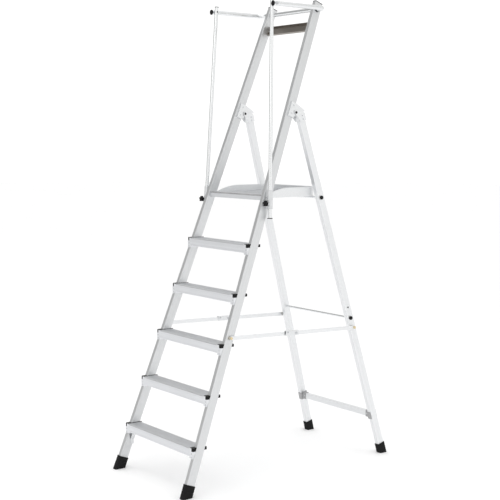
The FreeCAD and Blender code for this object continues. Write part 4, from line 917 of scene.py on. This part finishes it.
LIGHTS = (("key_light", (1.2, -5.0, 2.2), (3.0, 3.0), 22), ("fill_light", (5.5, 1.5, 0.8), (3.0, 4.0), 14),
          ("top_light", (0.0, 0.0, 4.2), (4.0, 4.0), 30))


def make_lights():
    """Three soft lights: a key on the climber's side, a fill on the far side and one overhead."""
    low, high = (Vector(corner) for corner in CAD_BOX)
    middle = (low + high) / 2
    for name, offset, size, power in LIGHTS:
        add_area(name, middle + Vector(offset), middle, size, power)


def make_camera(settings):
    """The camera, standing on the climber's right and in front."""
    data = bpy.data.cameras.new("camera")
    data.sensor_width = 36.0
    data.lens = settings.lens
    camera = bpy.data.objects.new("camera", data)
    camera.location = settings.camera_place
    turn = (Matrix.Rotation(settings.camera_yaw, 3, "Z")
            @ Matrix.Rotation(math.pi / 2 + settings.camera_pitch, 3, "X")
            @ Matrix.Rotation(settings.camera_roll, 3, "Z"))
    camera.rotation_euler = turn.to_euler()
    bpy.context.collection.objects.link(camera)
    bpy.context.scene.camera = camera


# ---- panel and registration ----

class LADDER_PT_panel(bpy.types.Panel):
    """Lists the settings and the steps that dress the ladder"""
    bl_label = "Step ladder"
    bl_idname = "LADDER_PT_panel"
    bl_space_type = "VIEW_3D"
    bl_region_type = "UI"
    bl_category = "Step ladder"

    def draw(self, context):
        for group in SETTINGS:
            settings = getattr(context.scene, group)
            box = self.layout.box()
            for name in settings.bl_rna.properties.keys():
                if name not in ("rna_type", "name"):
                    box.prop(settings, name)
        for operator in OPERATORS:
            self.layout.operator(operator.bl_idname)


OPERATORS = (LADDER_OT_finishes, LADDER_OT_boots, LADDER_OT_rivets, LADDER_OT_bolts, LADDER_OT_knobs,
             LADDER_OT_deck, LADDER_OT_caps, LADDER_OT_grip, LADDER_OT_stage)
SETTINGS = {"ladder_colours": LadderColours, "ladder_sizes": LadderSizes, "stage_settings": StageSettings}


def register():
    for kind in (*SETTINGS.values(), *OPERATORS, LADDER_PT_panel):
        bpy.utils.register_class(kind)
    for name, kind in SETTINGS.items():
        setattr(bpy.types.Scene, name, bpy.props.PointerProperty(type=kind))


def unregister():
    for name in SETTINGS:
        delattr(bpy.types.Scene, name)
    for kind in (LADDER_PT_panel, *reversed(OPERATORS), *reversed(SETTINGS.values())):
        bpy.utils.unregister_class(kind)


def main():
    register()
    bpy.ops.ladder.finishes()
    bpy.ops.ladder.boots()
    bpy.ops.ladder.rivets()
    bpy.ops.ladder.bolts()
    bpy.ops.ladder.knobs()
    bpy.ops.ladder.deck()
    bpy.ops.ladder.caps()
    bpy.ops.ladder.grip()
    bpy.ops.ladder.stage()


if __name__ == "__main__":
    main()
